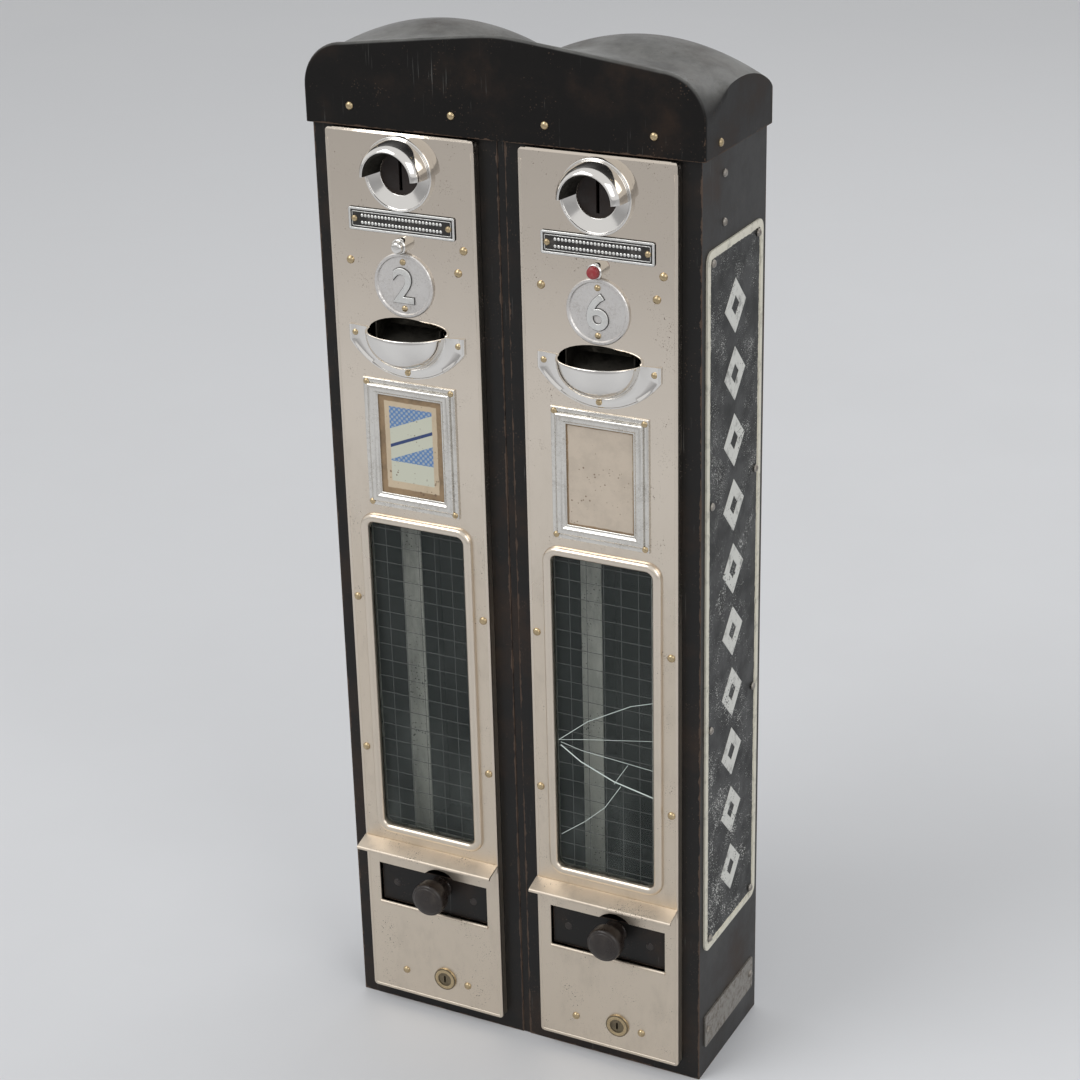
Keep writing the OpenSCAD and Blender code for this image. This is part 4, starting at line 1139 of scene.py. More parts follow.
@dataclass
class Finishes:
    """Every material of the machine that more than one place uses, made once."""

    shared: SharedEffects
    front: Box
    glass: Box
    channel: Box
    dull_share: float = 0.42
    bright_share: float = 0.8

    def __post_init__(self) -> None:
        """Builds the finishes. Boxes of the black pieces are given where they are used."""
        foot, tall = float(self.front.low[2]), float(self.front.size[2])
        self.panel = self.make(Nickel(
            "nickel front", foot + self.dull_share * tall, foot + self.bright_share * tall,
            bright_rough=0.02, dull_rough=0.38, specked=0.17))
        self.chrome = self.make(Nickel(
            "bright plating", dull_z=0.0, bright_z=0.3, bright_rough=0.08, dull_rough=0.14, specked=0.07,
            colour=(0.78, 0.76, 0.73), warm=(0.72, 0.7, 0.66)))
        self.dull = self.make(Nickel(
            "dull nickel", dull_z=0.6, bright_z=1.2, bright_rough=0.42, dull_rough=0.5, specked=0.26))
        self.bead = self.make(Nickel(
            "rubbed nickel", dull_z=0.1, bright_z=0.6, bright_rough=0.24, dull_rough=0.3, specked=0.12))
        self.brass = self.make(BareMetal(
            "old brass", colour=(0.52, 0.41, 0.25), tarnish=(0.13, 0.09, 0.045), rough=0.24))
        self.dark_brass = self.make(BareMetal(
            "handled brass", colour=(0.2, 0.165, 0.11), tarnish=(0.04, 0.03, 0.02), rough=0.34,
            tarnished=0.7))
        self.pewter = self.make(BareMetal(
            "pewter", colour=(0.72, 0.7, 0.66), tarnish=(0.22, 0.19, 0.15), rough=0.22, tarnished=0.42,
            grain=420.0, relief=0.08 * MM))
        self.aluminium = self.make(BareMetal(
            "pressed aluminium", colour=(0.78, 0.78, 0.76), tarnish=(0.3, 0.29, 0.27), rough=0.4,
            tarnished=0.35))
        self.plate = self.make(BareMetal(
            "stamped plate", colour=(0.72, 0.7, 0.68), tarnish=(0.27, 0.25, 0.23), rough=0.45, grain=500.0))
        self.galvanised = self.make(BareMetal(
            "galvanised sheet", colour=(0.6, 0.61, 0.58), tarnish=(0.3, 0.3, 0.28), rough=0.42, grain=120.0))
        # Zinc of the packet channels, with painted shade in their depth.
        self.zinc = self.make(ZincSheet("zinc sheet with painted shade", float(self.channel.low[1])))
        self.steel = self.make(BareMetal(
            "dull steel", colour=(0.34, 0.32, 0.29), tarnish=(0.1, 0.07, 0.05), rough=0.42, tarnished=0.8))
        self.resin = self.make(Moulded(
            "dark brown resin", colour=(0.016, 0.011, 0.009), faded=(0.05, 0.04, 0.032), rough=0.22))
        self.red = self.make(Moulded(
            "red resin", colour=(0.3, 0.03, 0.035), faded=(0.4, 0.16, 0.14), rough=0.25))
        self.fibre = self.make(Moulded(
            "brown fibre", colour=(0.016, 0.01, 0.008), faded=(0.035, 0.023, 0.017), rough=0.55))
        # Near-black metal for insides, where it stands for the shade in them.
        self.shade_dark_metal = self.make(BareMetal(
            "dark metal as painted shade inside", colour=(0.045, 0.042, 0.036), tarnish=(0.02, 0.016, 0.012), rough=0.55,
            tarnished=0.8))
        # Near-black filling: the label's dark field, and the dirt and painted shadow round the price number.
        self.black_fill_and_shadow = self.make(Moulded(
            "black filling and painted shadow", colour=(0.014, 0.013, 0.012), faded=(0.12, 0.11, 0.1), rough=0.45))
        self.pale = self.make(PalePaint("rubbed cream paint"))
        self.window = self.make(DustyGlass(
            "dusty wired glass", float(self.glass.low[2]), float(self.glass.high[2])))
        self.wire = self.make(Moulded(
            "wire in the glass", colour=(0.1, 0.105, 0.1), faded=(0.05, 0.055, 0.05), rough=0.5))
        self.crack = self.make(Moulded(
            "broken glass edge", colour=(0.62, 0.7, 0.66), faded=(0.8, 0.85, 0.82), rough=0.3))

    def make(self, finish: Finish) -> Material:
        """Builds one finish with the shared groups."""
        return finish.make(self.shared)

    def black(self, name: str, box: Box, wear: float, **more: float) -> Material:
        """Black paint that is worn along one box's edges."""
        return self.make(BlackPaint(name, *box.corners, wear, **more))


@dataclass
class Hood:
    """Domed hood: a gable in front that turns into two arched domes behind it."""

    box: Box
    wall: float = 3.6 * MM
    pocket_h: float = 20.3 * MM
    eave_h: float = 26 * MM
    gable_r: float = 33 * MM
    gable_rise: float = 14 * MM
    gable_soft: float = 12 * MM
    arch_rise: float = 19 * MM
    arch_power: float = 0.75
    dome_rise: float = 21 * MM
    blend: float = 44 * MM
    edge: float = 2.2 * MM
    sharp_deg: float = 28.0
    corner_steps: int = 12
    gable_steps: int = 60
    deep_steps: int = 48
    wall_steps: int = 8
    edge_steps: int = 6

    def __post_init__(self) -> None:
        """Reads the half width, and where the gable's slopes meet its corners."""
        self.half = self.box.size[0] / 2
        self.flat = self.half - self.gable_r

    def gable(self, x: Array) -> Array:
        """Height of the front outline: quarter circles at the corners, softened straight slopes between them.

        Args:
            x: Places across the hood.

        Returns:
            Heights.
        """
        eave = self.box.low[2] + self.eave_h
        a = np.abs(x)
        corner = eave + np.sqrt(np.maximum(0, self.gable_r**2 - np.maximum(0, a - self.flat) ** 2))
        slope = np.hypot(x, self.gable_soft) - self.gable_soft
        end = math.hypot(self.flat, self.gable_soft) - self.gable_soft
        return np.where(a > self.flat, corner, eave + self.gable_r + self.gable_rise * (1 - slope / end))

    def roof(self, x: Array, y: Array) -> Array:
        """Height of the roof: the gable, blended over a depth into a side arch plus two domes.

        Args:
            x: Places across the hood.
            y: Places in its depth.

        Returns:
            Heights.
        """
        low, high = self.box.low, self.box.high
        u = (2 * y - low[1] - high[1]) / (high[1] - low[1])
        arch = low[2] + self.eave_h + self.arch_rise * np.maximum(0, 1 - u * u) ** self.arch_power
        v = 2 * np.abs(x) / self.half - 1
        domes = self.dome_rise * (1 - v * v)
        t = np.clip((y - low[1]) / self.blend, 0, 1)
        b = t * t * (3 - 2 * t)
        return (1 - b) * self.gable(x) + b * (arch + domes)

    def top(self) -> Array:
        """Grid of the roof, behind its rounded front edge and closer in the gable's corners.

        Returns:
            Points, places across by places in the depth.
        """
        corner = self.flat + self.gable_r * np.sin(arc(0, 90, self.corner_steps))[1:]
        slopes = np.linspace(-self.flat, self.flat, self.gable_steps + 1)
        x = np.concatenate([-corner[::-1], slopes, corner])
        y0 = self.box.low[1] + self.edge
        y = y0 + (self.box.high[1] - y0) * np.linspace(0, 1, self.deep_steps + 1)
        gx, gy = np.meshgrid(x, y, indexing="ij")
        return np.stack([gx, gy, self.roof(gx, gy)], -1)

    def front_edge(self, top: Array, share: Array) -> Array:
        """Rounded front edge: a quarter circle carried along the front outline, up, over and down.

        Args:
            top: Grid of the roof.
            share: Shares of the height at which the side walls have points.

        Returns:
            Points, steps of the quarter circle by points of the outline.
        """
        z0 = self.box.low[2]
        up = z0 + (top[0, 0, 2] - z0) * share[:-1]
        down = z0 + (top[-1, 0, 2] - z0) * share[-2::-1]
        front = np.concatenate([np.stack([0 * up - self.half, up], -1), top[:, 0][:, [0, 2]],
                                np.stack([0 * down + self.half, down], -1)])
        along = np.gradient(front, axis=0)
        along /= np.linalg.norm(along, axis=1, keepdims=True)
        inward = np.stack([along[:, 1], -along[:, 0]], -1)
        t = arc(0, 90, self.edge_steps)[:, None]
        flat = front[None] + (self.edge * (1 - np.sin(t)))[..., None] * inward[None]
        y = self.box.low[1] + self.edge * (1 - np.cos(t))
        return np.stack([flat[..., 0], np.broadcast_to(y, flat.shape[:2]), flat[..., 1]], -1)

    def build(self) -> Object:
        """Builds the shell: roof, side walls, rounded front edge, front, back and the pocket below.

        Returns:
            The hood.
        """
        draft = Draft()
        y0, z0 = self.box.low[1:]
        share = np.linspace(0, 1, self.wall_steps + 1)
        top = self.top()
        draft.grid(top)
        walls = []
        for x, y, z in (top[0].T[..., None], top[-1].T[..., None]):
            walls.append(draft.grid(np.stack(np.broadcast_arrays(x, y, z0 + (z - z0) * share), -1)))
        rim = draft.grid(self.front_edge(top, share))
        draft.polygon(rim[0])
        inner, front, back = self.half - self.wall, y0 + self.wall, self.box.high[1]
        around = np.array([[-inner, front], [inner, front], [inner, back], [-inner, back]])
        levels = np.repeat([z0, z0 + self.pocket_h], len(around))
        c = draft.add(np.column_stack([np.vstack([around, around]), levels]))
        for loop in ([0, 1, 5, 4], [1, 2, 6, 5], [3, 0, 4, 7], [4, 5, 6, 7]):
            draft.polygon(c[loop])
        foot = [walls[0][::-1, 0], rim[::-1, 0], rim[:, -1], walls[1][:, 0], c[[2, 1, 0, 3]]]
        draft.polygon(np.concatenate(foot))
        ridge = draft.add(top[:, -1])
        draft.polygon(np.concatenate([walls[0][-1, :-1], ridge, walls[1][-1, -2::-1], c[[2, 6, 7, 3]]]))
        return draft.build("hood_shell", self.sharp_deg)


@dataclass
class SideSign:
    """Ornament on the side sign: a column of plain lozenges in rubbed cream paint."""

    box: Box
    count: int = 10
    half_w: float = 19 * MM
    half_h: float = 20.5 * MM
    bar: float = 12 * MM
    lift: float = 0.5 * MM
    sunk: float = 0.5 * MM
    margin: float = 26 * MM
    slant: float = 0.03
    sharp_deg: float = 20.0

    def build(self) -> Object:
        """Builds the lozenges as shallow mitred frames on the sign's field.

        A point lies half_w or half_h times its reach from a lozenge's middle,
        along one of four ways.

        Returns:
            The ornament, as one mesh.
        """
        _, y, z = self.box.middle
        middles = z + centred(self.count, (self.box.size[2] - 2 * self.margin) / self.count)
        way = np.array([[1, 0], [0, 1], [-1, 0], [0, -1]], float)[None, :, None]
        inner = 1 - self.bar / self.half_w
        reach = np.array([1.0, 1 - self.slant, inner + self.slant, inner])
        x = self.box.high[0] - self.sunk + np.array([0.0, self.lift, self.lift, 0.0])
        flat_y = y + way[..., 0] * self.half_w * reach
        flat_z = middles[:, None, None] + way[..., 1] * self.half_h * reach
        draft = Draft()
        draft.ring(np.stack(np.broadcast_arrays(x, flat_y, flat_z), -1))
        return draft.build("sign_lozenges", self.sharp_deg)


@dataclass
class Trim:
    """A sub-assembly on one column's front."""

    side: Side
    finishes: Finishes

    def __post_init__(self) -> None:
        """Reads the middle of the column and the front face of its sheet."""
        self.x = float(self.box("panel").middle[0])
        self.sheet_y = float(self.box("coin_bezel").high[1])

    def box(self, name: str) -> Box:
        """Box of this column's CAD node."""
        return Box.of(self.side.named(name))

    def put(self, draft: Draft, name: str, slot: str, finish: Material, *stands_for: str, body: str = "door",
            sharp_deg: float = 40.0) -> None:
        """Makes a piece of this column and dresses it.

        Args:
            draft: Its points and faces.
            name: Its name in this column.
            slot: Material slot of the record.
            finish: Its material.
            stands_for: CAD nodes of this column that it replaces.
            body: CAD body of this column that it moves with.
            sharp_deg: Angle from which an edge stays sharp.
        """
        piece = draft.build(self.side.named(name), sharp_deg)
        dress(piece, self.side.named(body), slot, finish, *map(self.side.named, stands_for))

    def build(self) -> None:
        """What each sub-assembly does for itself: builds and dresses its pieces."""
        raise NotImplementedError


@dataclass
class EdgeFold(Trim):
    """Folded edge of the front: a thin rounded strip down one side, along the foot and up the other side."""

    stop: float = 8 * MM
    corner: float = 3 * MM
    corner_steps: int = 8
    section: Outline = ((-2.4, -0.3), (-2.2, 0.3), (0.25, 0.3), (0.25, -3.0), (-0.4, -3.0))
    soft: float = 0.8

    def build(self) -> None:
        """Carries the section along a path with a quarter circle at each lower corner."""
        panel = self.box("panel")
        half_w, half_h = panel.size[[0, 2]] / 2
        t = np.stack([arc(180, 270, self.corner_steps), arc(270, 360, self.corner_steps)])
        way = np.stack([np.cos(t), np.sin(t)], -1)
        reach, low, top = half_w - self.corner, self.corner - half_h, half_h - self.stop
        foot = np.array([[[-reach, low]], [[reach, low]]]) + self.corner * way
        path = np.vstack([[[-half_w, top]], foot.reshape(-1, 2), [[half_w, top]]])
        out = np.vstack([[[-1.0, 0.0]], way.reshape(-1, 2), [[1.0, 0.0]]])
        draft = Draft()
        draft.bar(swept(path, out, filleted(self.section, self.soft), self.x, self.sheet_y, panel.middle[2]))
        self.put(draft, "edge_fold", "nickel", self.finishes.bead)


@dataclass
class Window(Trim):
    """Wired window: the bead round it, the wires in its glass and, on the right, its cracks."""

    hidden: float = 4.5 * MM
    corner: float = 5 * MM
    bead_w: float = 7.5 * MM
    bead_h: float = 4 * MM
    bead_power: float = 2 / 2.3
    bead_steps: int = 22
    inner_foot: float = -1.0 * MM
    outer_foot: float = -0.3 * MM
    pitch: float = 14 * MM
    uprights: int = 7
    levels: int = 19
    wire_r: float = 0.24 * MM
    wire_in: float = 0.8 * MM
    wire_gap: float = 1.9
    wire_stop: float = 1.0 * MM
    wire_sides: int = 6
    crack_lift: tuple[float, ...] = (0.0, -0.12, 0.0, 0.1)
    cracks: tuple[tuple[float, Outline], ...] = (
        (0.5, ((-39.1, -22.5), (-14.3, -1.7), (21.4, 18.6), (40.0, 25.1))),
        (0.35, ((-39.1, -22.5), (-14.6, -17.1), (12.1, -12.0), (40.0, -6.6))),
        (0.45, ((-37.4, -23.9), (-19.8, -27.6), (3.6, -29.2), (39.9, -31.9))),
        (1.1, ((-37.5, -26.4), (-20.8, -37.3), (6.7, -48.2), (39.8, -55.0))),
        (0.45, ((12.5, -51.1), (-1.1, -72.5), (-18.3, -88.9), (-38.3, -104.4))),
        (0.4, ((6.7, -50.7), (12.0, -42.0), (18.5, -31.7))),
    )

    def build(self) -> None:
        """Builds the bead and the wires, and breaks the right pane."""
        self.glass = self.box("window_glass")
        self.bead()
        self.wires()
        if self.side is Side.RIGHT:
            self.broken()

    def bead(self) -> None:
        """Rounded bead: a superellipse carried round a rounded rectangle."""
        path, out = round_rect(*(self.glass.size[[0, 2]] / 2 - self.hidden), self.corner)
        t = arc(180, 0, self.bead_steps)
        c, s = np.cos(t), np.sin(t)
        u = self.bead_w / 2 * (1 + np.sign(c) * np.abs(c) ** self.bead_power)
        h = self.bead_h * np.abs(s) ** self.bead_power
        feet = [[0.0, self.inner_foot]], [[self.bead_w, self.outer_foot]]
        profile = np.vstack([feet[0], np.stack([u, h], -1), feet[1]])
        draft = Draft()
        draft.ring(swept(path, out, profile, self.x, self.sheet_y, self.glass.middle[2]))
        self.put(draft, "window_bead", "nickel", self.finishes.bead)

    def wires(self) -> None:
        """Square wire mesh: two layers of thin capped rods, one behind the other."""
        y, z = self.glass.low[1] + self.wire_in, self.glass.middle[2]
        half = self.glass.size / 2 - self.wire_stop
        t = arc(0, 360, self.wire_sides)[:-1]
        a, b = self.wire_r * np.cos(t), self.wire_r * np.sin(t)
        across, up = (centred(count, self.pitch)[:, None, None] for count in (self.uprights, self.levels))
        ends = np.array([-1.0, 1.0])[None, :, None]
        draft = Draft()
        draft.bar(np.stack(np.broadcast_arrays(self.x + across + a, y + b, z + half[2] * ends), -1))
        y += self.wire_gap * self.wire_r
        draft.bar(np.stack(np.broadcast_arrays(self.x + half[0] * ends, y + a, z + up + b), -1))
        self.put(draft, "window_wires", "bare_steel", self.finishes.wire)

    def broken(self) -> None:
        """Cracks of the broken pane: low four-sided ridges that spread from one blow at its left edge."""
        draft = Draft()
        for width, line in self.cracks:
            p = np.array(line) * MM
            along = np.gradient(p, axis=0)
            along /= np.linalg.norm(along, axis=1, keepdims=True)
            aside = np.stack([-along[:, 1], along[:, 0]], -1) * width * MM / 2
            flat = np.stack([p - aside, p, p + aside, p], 1)
            y = np.broadcast_to(self.glass.low[1] + np.array(self.crack_lift) * MM, flat.shape[:2])
            draft.bar(np.stack([self.x + flat[..., 0], y, self.glass.middle[2] + flat[..., 1]], -1))
        self.put(draft, "window_cracks", "wired_glass", self.finishes.crack)


@dataclass
class CoinEntry(Trim):
    """Coin entry: a dished ring with a raised rim, and a half-round visor that rounds in towards its mouth.

    The ring's rim and the visor's foot are measured from the entry's edge, the visor's mouth from its front.
    """

    hole: Outline = ((15.5, 0.0), (15.5, 0.9))
    rim: Outline = ((-1.9, 2.7), (-1.6, 3.6), (-0.3, 3.5), (0.0, 2.6), (0.0, 0.0))
    inside: Outline = ((20.0, 0.6), (15.5, 0.6))
    mouth: Outline = ((19.4, -0.2), (20.2, 0.0), (21.2, -0.6), (22.7, -2.1), (24.2, -4.5), (25.2, -8.4))
    shoulder: Outline = ((-1.7, -13.0),)
    foot: Outline = ((-1.6, 1.6), (-2.5, 0.6))
    rim_soft: float = 0.6
    visor_soft: float = 1.6
    # The lining is a near-black sheet in the visor that stands for the shade under it.
    lining_near: float = 15.45
    lining_far: float = 19.3
    lining_foot: float = 1.0
    lining_back: float = 0.4
    lining_t: float = 0.25
    lining_stop: float = 1.0
    ring_steps: int = 96
    visor_steps: int = 64

    def build(self) -> None:
        """Turns the ring, the visor over half a turn, and a dark lining inside the visor that paints the
        shade under it.
        """
        box = self.box("coin_bezel")
        edge, front = box.size[0] / 2 / MM, box.size[1] / MM
        ring = filleted([*self.hole, *moved(self.rim, edge)], self.rim_soft)
        visor = filleted([*self.inside, *moved(self.mouth, 0.0, front), *moved(self.shoulder, edge, front),
                          *moved(self.foot, edge)], self.visor_soft)
        draft = Draft()
        draft.ring(facing_out(turned(ring, self.ring_steps), *box.seat))
        draft.bar(facing_out(turned(visor, self.visor_steps, 0, 180), *box.seat))
        self.put(draft, "coin_entry", "nickel", self.finishes.chrome, "coin_bezel")
        # Painted shade: a dark sheet lines the visor.
        outer = [(self.lining_near, self.lining_foot), (self.lining_far, front - self.lining_back)]
        lining = np.array([*outer, *moved(outer[::-1], -self.lining_t)]) * MM
        lining = turned(lining, self.visor_steps, self.lining_stop, 180 - self.lining_stop)
        liner = Draft()
        liner.bar(facing_out(lining, *box.seat))
        self.put(liner, "visor_inside", "nickel", self.finishes.shade_dark_metal)


@dataclass
class Label(Trim):
    """Bare label: a dark field in a bright rounded border, with a fine inner line and two rows of studs."""

    corner: float = 1.5 * MM
    border: Outline = ((-2.0, 0.6), (-1.8, 1.55), (-0.3, 1.55), (0.0, 1.0), (0.0, 0.1))
    border_soft: float = 0.4
    line_in: float = 3 * MM
    line_corner: float = 0.8 * MM
    line: Outline = ((-0.5, 1.0), (-0.4, 1.4), (0.0, 1.4), (0.1, 1.0))
    line_soft: float = 0.2
    corner_steps: int = 4
    stud: Outline = ((0.0, 1.6), (0.75, 1.5), (1.22, 1.15), (1.27, 0.9), (0.0, 0.9))
    stud_sides: int = 10
    studs: int = 24
    stud_pitch: float = 2.8 * MM
    rows: int = 2
    row_pitch: float = 5.2 * MM

    def build(self) -> None:
        """Carries border and line round rounded rectangles, and repeats one turned stud."""
        box = self.box("label_plate")
        half = box.size[[0, 2]] / 2
        draft = Draft()
        path, out = round_rect(*half, self.corner, self.corner_steps)
        draft.ring(swept(path, out, filleted(self.border, self.border_soft), *box.seat))
        path, out = round_rect(*(half - self.line_in), self.line_corner, self.corner_steps)
        draft.ring(swept(path, out, filleted(self.line, self.line_soft), *box.seat))
        stud = facing_out(turned(np.array(self.stud) * MM, self.stud_sides), *box.seat)
        along, rows = centred(self.studs, self.stud_pitch), centred(self.rows, self.row_pitch)
        shift = np.stack(np.meshgrid(along, [0.0], rows, indexing="ij"), -1)
        draft.spindle(stud + shift.reshape(-1, 1, 1, 3))
        self.put(draft, "label_border", "aluminium", self.finishes.aluminium)


@dataclass(frozen=True)
class Relief:
    """How a number stands out: its spread past the plain form, half its thickness, and its bevel."""

    spread: float
    rise: float
    bevel: float


@dataclass
class PriceNumber(Trim):
    """Raised plain number on the price disc, with a fine dark line round it that is dirt and painted shadow
    in one.
    """

    number: str
    size: float = 36 * MM
    disc_t: float = 1.5 * MM
    raised: Relief = Relief(spread=0.25 * MM, rise=0.8 * MM, bevel=0.45 * MM)
    # The wider dark layer: dirt round the number and a painted shadow in one.
    dirt: Relief = Relief(spread=0.9 * MM, rise=0.35 * MM, bevel=0.15 * MM)

    def build(self) -> None:
        """Builds the number and the dark line round it, dirt and painted shadow."""
        f = self.finishes
        self.put(self.layer(self.raised), "price_number", "aluminium", f.aluminium)
        # Dark layer under the number: dirt and painted shadow.
        self.put(self.layer(self.dirt), "number_outline", "black_paint", f.black_fill_and_shadow)

    def layer(self, relief: Relief) -> Draft:
        """One layer of the number, made a mesh and centred before it is placed.

        Args:
            relief: How it stands out.

        Returns:
            Its points and faces.
        """
        words = bpy.data.curves.new("number", "FONT")
        words.body, words.size = self.number, self.size
        words.align_x, words.align_y = "CENTER", "CENTER"
        words.extrude, words.bevel_depth, words.offset = relief.rise, relief.bevel, relief.spread
        flat = bpy.data.objects.new("number", words)
        bpy.context.scene.collection.objects.link(flat)
        bpy.context.view_layer.update()
        mesh = bpy.data.meshes.new_from_object(flat.evaluated_get(bpy.context.evaluated_depsgraph_get()))
        bpy.data.objects.remove(flat)
        points = np.empty(len(mesh.vertices) * 3)
        mesh.vertices.foreach_get("co", points)
        points = points.reshape(-1, 3)
        points[:, :2] -= (points[:, :2].min(0) + points[:, :2].max(0)) / 2
        x, y, z = self.box("price_disc").seat
        draft = Draft()
        draft.add(facing_out(points, x, y - self.disc_t, z))
        draft.faces = [list(face.vertices) for face in mesh.polygons]
        bpy.data.meshes.remove(mesh)
        return draft


@dataclass
class ReturnButton(Trim):
    """Return button: a domed cap with a rounded edge on a stem, in a plated sleeve."""

    stem_r: float = 1.9
    cap_h: float = 10.5
    edge_h: float = 1.0
    face: float = 0.6
    cap_soft: float = 1.2
    sleeve: Outline = ((4.5, 0.0), (4.5, 7.2), (5.0, 7.4), (5.9, 6.6), (5.9, 0.0))
    sleeve_soft: float = 0.4
    steps: int = 40

    def build(self) -> None:
        """Turns the cap with its stem, and the sleeve."""
        box, f = self.box("return_button"), self.finishes
        r, tall = box.size[0] / 2 / MM, box.size[1] / MM
        under = tall - self.cap_h
        cap = filleted([(0, 0), (self.stem_r, 0), (self.stem_r, under), (r, under), (r, tall - self.edge_h),
                        (r * self.face, tall), (0, tall)], self.cap_soft)
        draft = Draft()
        draft.spindle(facing_out(turned(cap, self.steps), *box.seat))
        slot, finish = ("nickel", f.chrome) if self.side is Side.LEFT else ("red_plastic", f.red)
        self.put(draft, "button_cap", slot, finish, "return_button", body="button")
        x, _, z = box.middle
        tube = turned(filleted(self.sleeve, self.sleeve_soft), self.steps)
        sleeve = Draft()
        sleeve.ring(facing_out(tube, x, self.sheet_y, z))
        self.put(sleeve, "button_sleeve", "nickel", f.chrome)


@dataclass
class ReturnCup(Trim):
    """Return cup: a quarter ellipsoid with a rolled rim, which a fillet joins to a flange with two ears."""

    half: float = 32 * MM
    wall: float = 1.5 * MM
    sheet: float = 1.5 * MM
    rim_drop: float = 0.9 * MM
    flange: float = 9 * MM
    fillet: float = 4.2 * MM
    fillet_share: float = 0.3
    roll: float = 0.6 * MM
    ear_h: float = 12 * MM
    raised: Outline = ((0, 0), (0, 1.5), (0.05, 2.2), (0.16, 2.2), (0.24, 1.5), (0.6, 1.5))
    bowl_steps: int = 18
    roll_steps: int = 6
    edge_steps: int = 72
    arc_steps: int = 80
    sharp_deg: float = 50.0

    def build(self) -> None:
        """Builds the cup as one surface, because every section from ear to ear is one loop.

        A point of the bowl lies half * cos t across, deep * sin t * sin f out and
        drop * sin t * cos f below the rim, with t from ear to ear and f from the
        sheet to the rim.
        """
        box = self.box("return_cup")
        half, wall, sheet = self.half, self.wall, self.sheet
        deep, rim = box.size[1], box.high[2] - self.rim_drop
        drop = rim - box.low[2] - self.flange
        edge, share = self.outline(box)
        t = np.pi * (1 + share)
        c, s = np.cos(t), np.maximum(-np.sin(t), 0)
        lip, hollow = sheet + (deep - sheet) * s, (deep - wall) * s
        fillet = np.minimum(self.fillet, self.fillet_share * (lip - sheet))
        mouth = np.stack([half * c, rim - drop * s], -1)
        way = np.stack([c / half, -s / drop], -1)
        way *= (fillet / np.linalg.norm(way, axis=1))[:, None]
        rows = [(edge + k * (mouth + way - edge), 0 * s + height * MM) for k, height in self.raised]
        rows += [(mouth + way * (1 - math.sin(k)), sheet + fillet * (1 - math.cos(k)))
                 for k in arc(0, 90, self.roll_steps)]
        low = sheet + fillet
        rows += [(np.stack([half * c, rim - drop * s * math.cos(f)], -1), low + (lip - low) * math.sin(f))
                 for f in arc(0, 90, self.bowl_steps)[1:]]
        for k in arc(0, 180, self.roll_steps)[1:-1]:
            b = (1 - math.cos(k)) / 2
            over = rim + self.roll * math.sin(k) * np.sqrt(s)
            rows.append((np.stack([(half - b * wall) * c, over], -1), (1 - b) * lip + b * hollow))
        for f in arc(90, 0, self.bowl_steps):
            under = rim - (drop - wall) * s * math.cos(f)
            rows.append((np.stack([(half - wall) * c, under], -1), hollow * math.sin(f)))
        flat, out = (np.stack(part, 1) for part in zip(*rows))
        draft = Draft()
        draft.bar(np.stack([box.middle[0] + flat[..., 0], box.high[1] - out, flat[..., 1]], -1))
        self.put(draft, "cup_bowl", "nickel", self.finishes.chrome, "return_cup", sharp_deg=self.sharp_deg)

    def outline(self, box: Box) -> tuple[Array, Array]:
        """Outer edge of the flange: down one ear, along an arc and up the other ear.

        The points are evenly spaced, and the two ears' lower corners are added to them.

        Args:
            box: Box of the cup.

        Returns:
            Points on X and Z, and their shares of the edge's length.
        """
        top, foot, ear = box.high[2], box.low[2], box.size[0] / 2
        sag = top - self.ear_h - foot
        radius = (ear * ear + sag * sag) / (2 * sag)
        reach = math.degrees(math.asin(ear / radius))
        t = arc(-90 - reach, -90 + reach, self.arc_steps)
        bow = np.stack([radius * np.cos(t), foot + radius + radius * np.sin(t)], -1)
        line = np.vstack([[[-ear, top]], bow, [[ear, top]]])
        length = np.concatenate([[0.0], np.cumsum(np.linalg.norm(np.diff(line, axis=0), axis=1))])
        length /= length[-1]
        share = np.union1d(np.linspace(0, 1, self.edge_steps + 1), length[[1, -2]])
        return np.stack([np.interp(share, length, line[:, k]) for k in (0, 1)], -1), share


@dataclass
class CardFrame(Trim):
    """Card frame: a stepped moulding carried round a rectangle with mitred corners.

    The crown's heights are shares of the frame's own height.
    """

    wide: float = 12 * MM
    step: Outline = ((0.0, 0.9), (0.0, 2.2), (1.6, 2.7))
    crown: Outline = ((2.3, 0.8), (4.0, 1.0), (6.4, 0.97), (8.0, 0.7))
    rim: Outline = ((8.4, 1.2), (9.0, 2.3), (11.4, 2.25), (12.0, 1.6), (12.0, 0.0))
    soft: float = 1.3

    def build(self) -> None:
        """Carries the moulding's section outwards along the four corners' mitres."""
        box = self.box("card_frame")
        tall = box.size[1] / MM
        crown = [(across, share * tall) for across, share in self.crown]
        profile = filleted([*self.step, *crown, *self.rim], self.soft)
        mitre = np.array([[1, 1], [-1, 1], [-1, -1], [1, -1]], float)
        draft = Draft()
        draft.ring(swept(mitre * (box.size[[0, 2]] / 2 - self.wide), mitre, profile, *box.seat))
        self.put(draft, "card_moulding", "pewter", self.finishes.pewter, "card_frame")


@dataclass
class DripLedge(Trim):
    """Drip ledge: a folded sheet with a rolled lip, carried along X.

    Its section is measured out from the front and down from its top, the lip's part from its outer edge.
    """

    flange: Outline = ((0.0, 7.0), (0.0, 0.0), (1.4, 0.0))
    lip: Outline = ((-0.6, 4.0), (0.0, 4.8), (0.0, 6.6), (-2.2, 6.6), (-2.4, 5.2))
    under: Outline = ((1.4, 1.4), (1.4, 7.0))
    soft: float = 0.8

    def build(self) -> None:
        """Carries the section from one end to the other."""
        box = self.box("ledge")
        section = [*self.flange, *moved(self.lip, box.size[1] / MM), *self.under]
        draft = Draft()
        draft.bar(along_x(box.high[1:] - filleted(section, self.soft), box.low[0], box.high[0]))
        self.put(draft, "drip_ledge", "nickel", self.finishes.dull, "ledge")


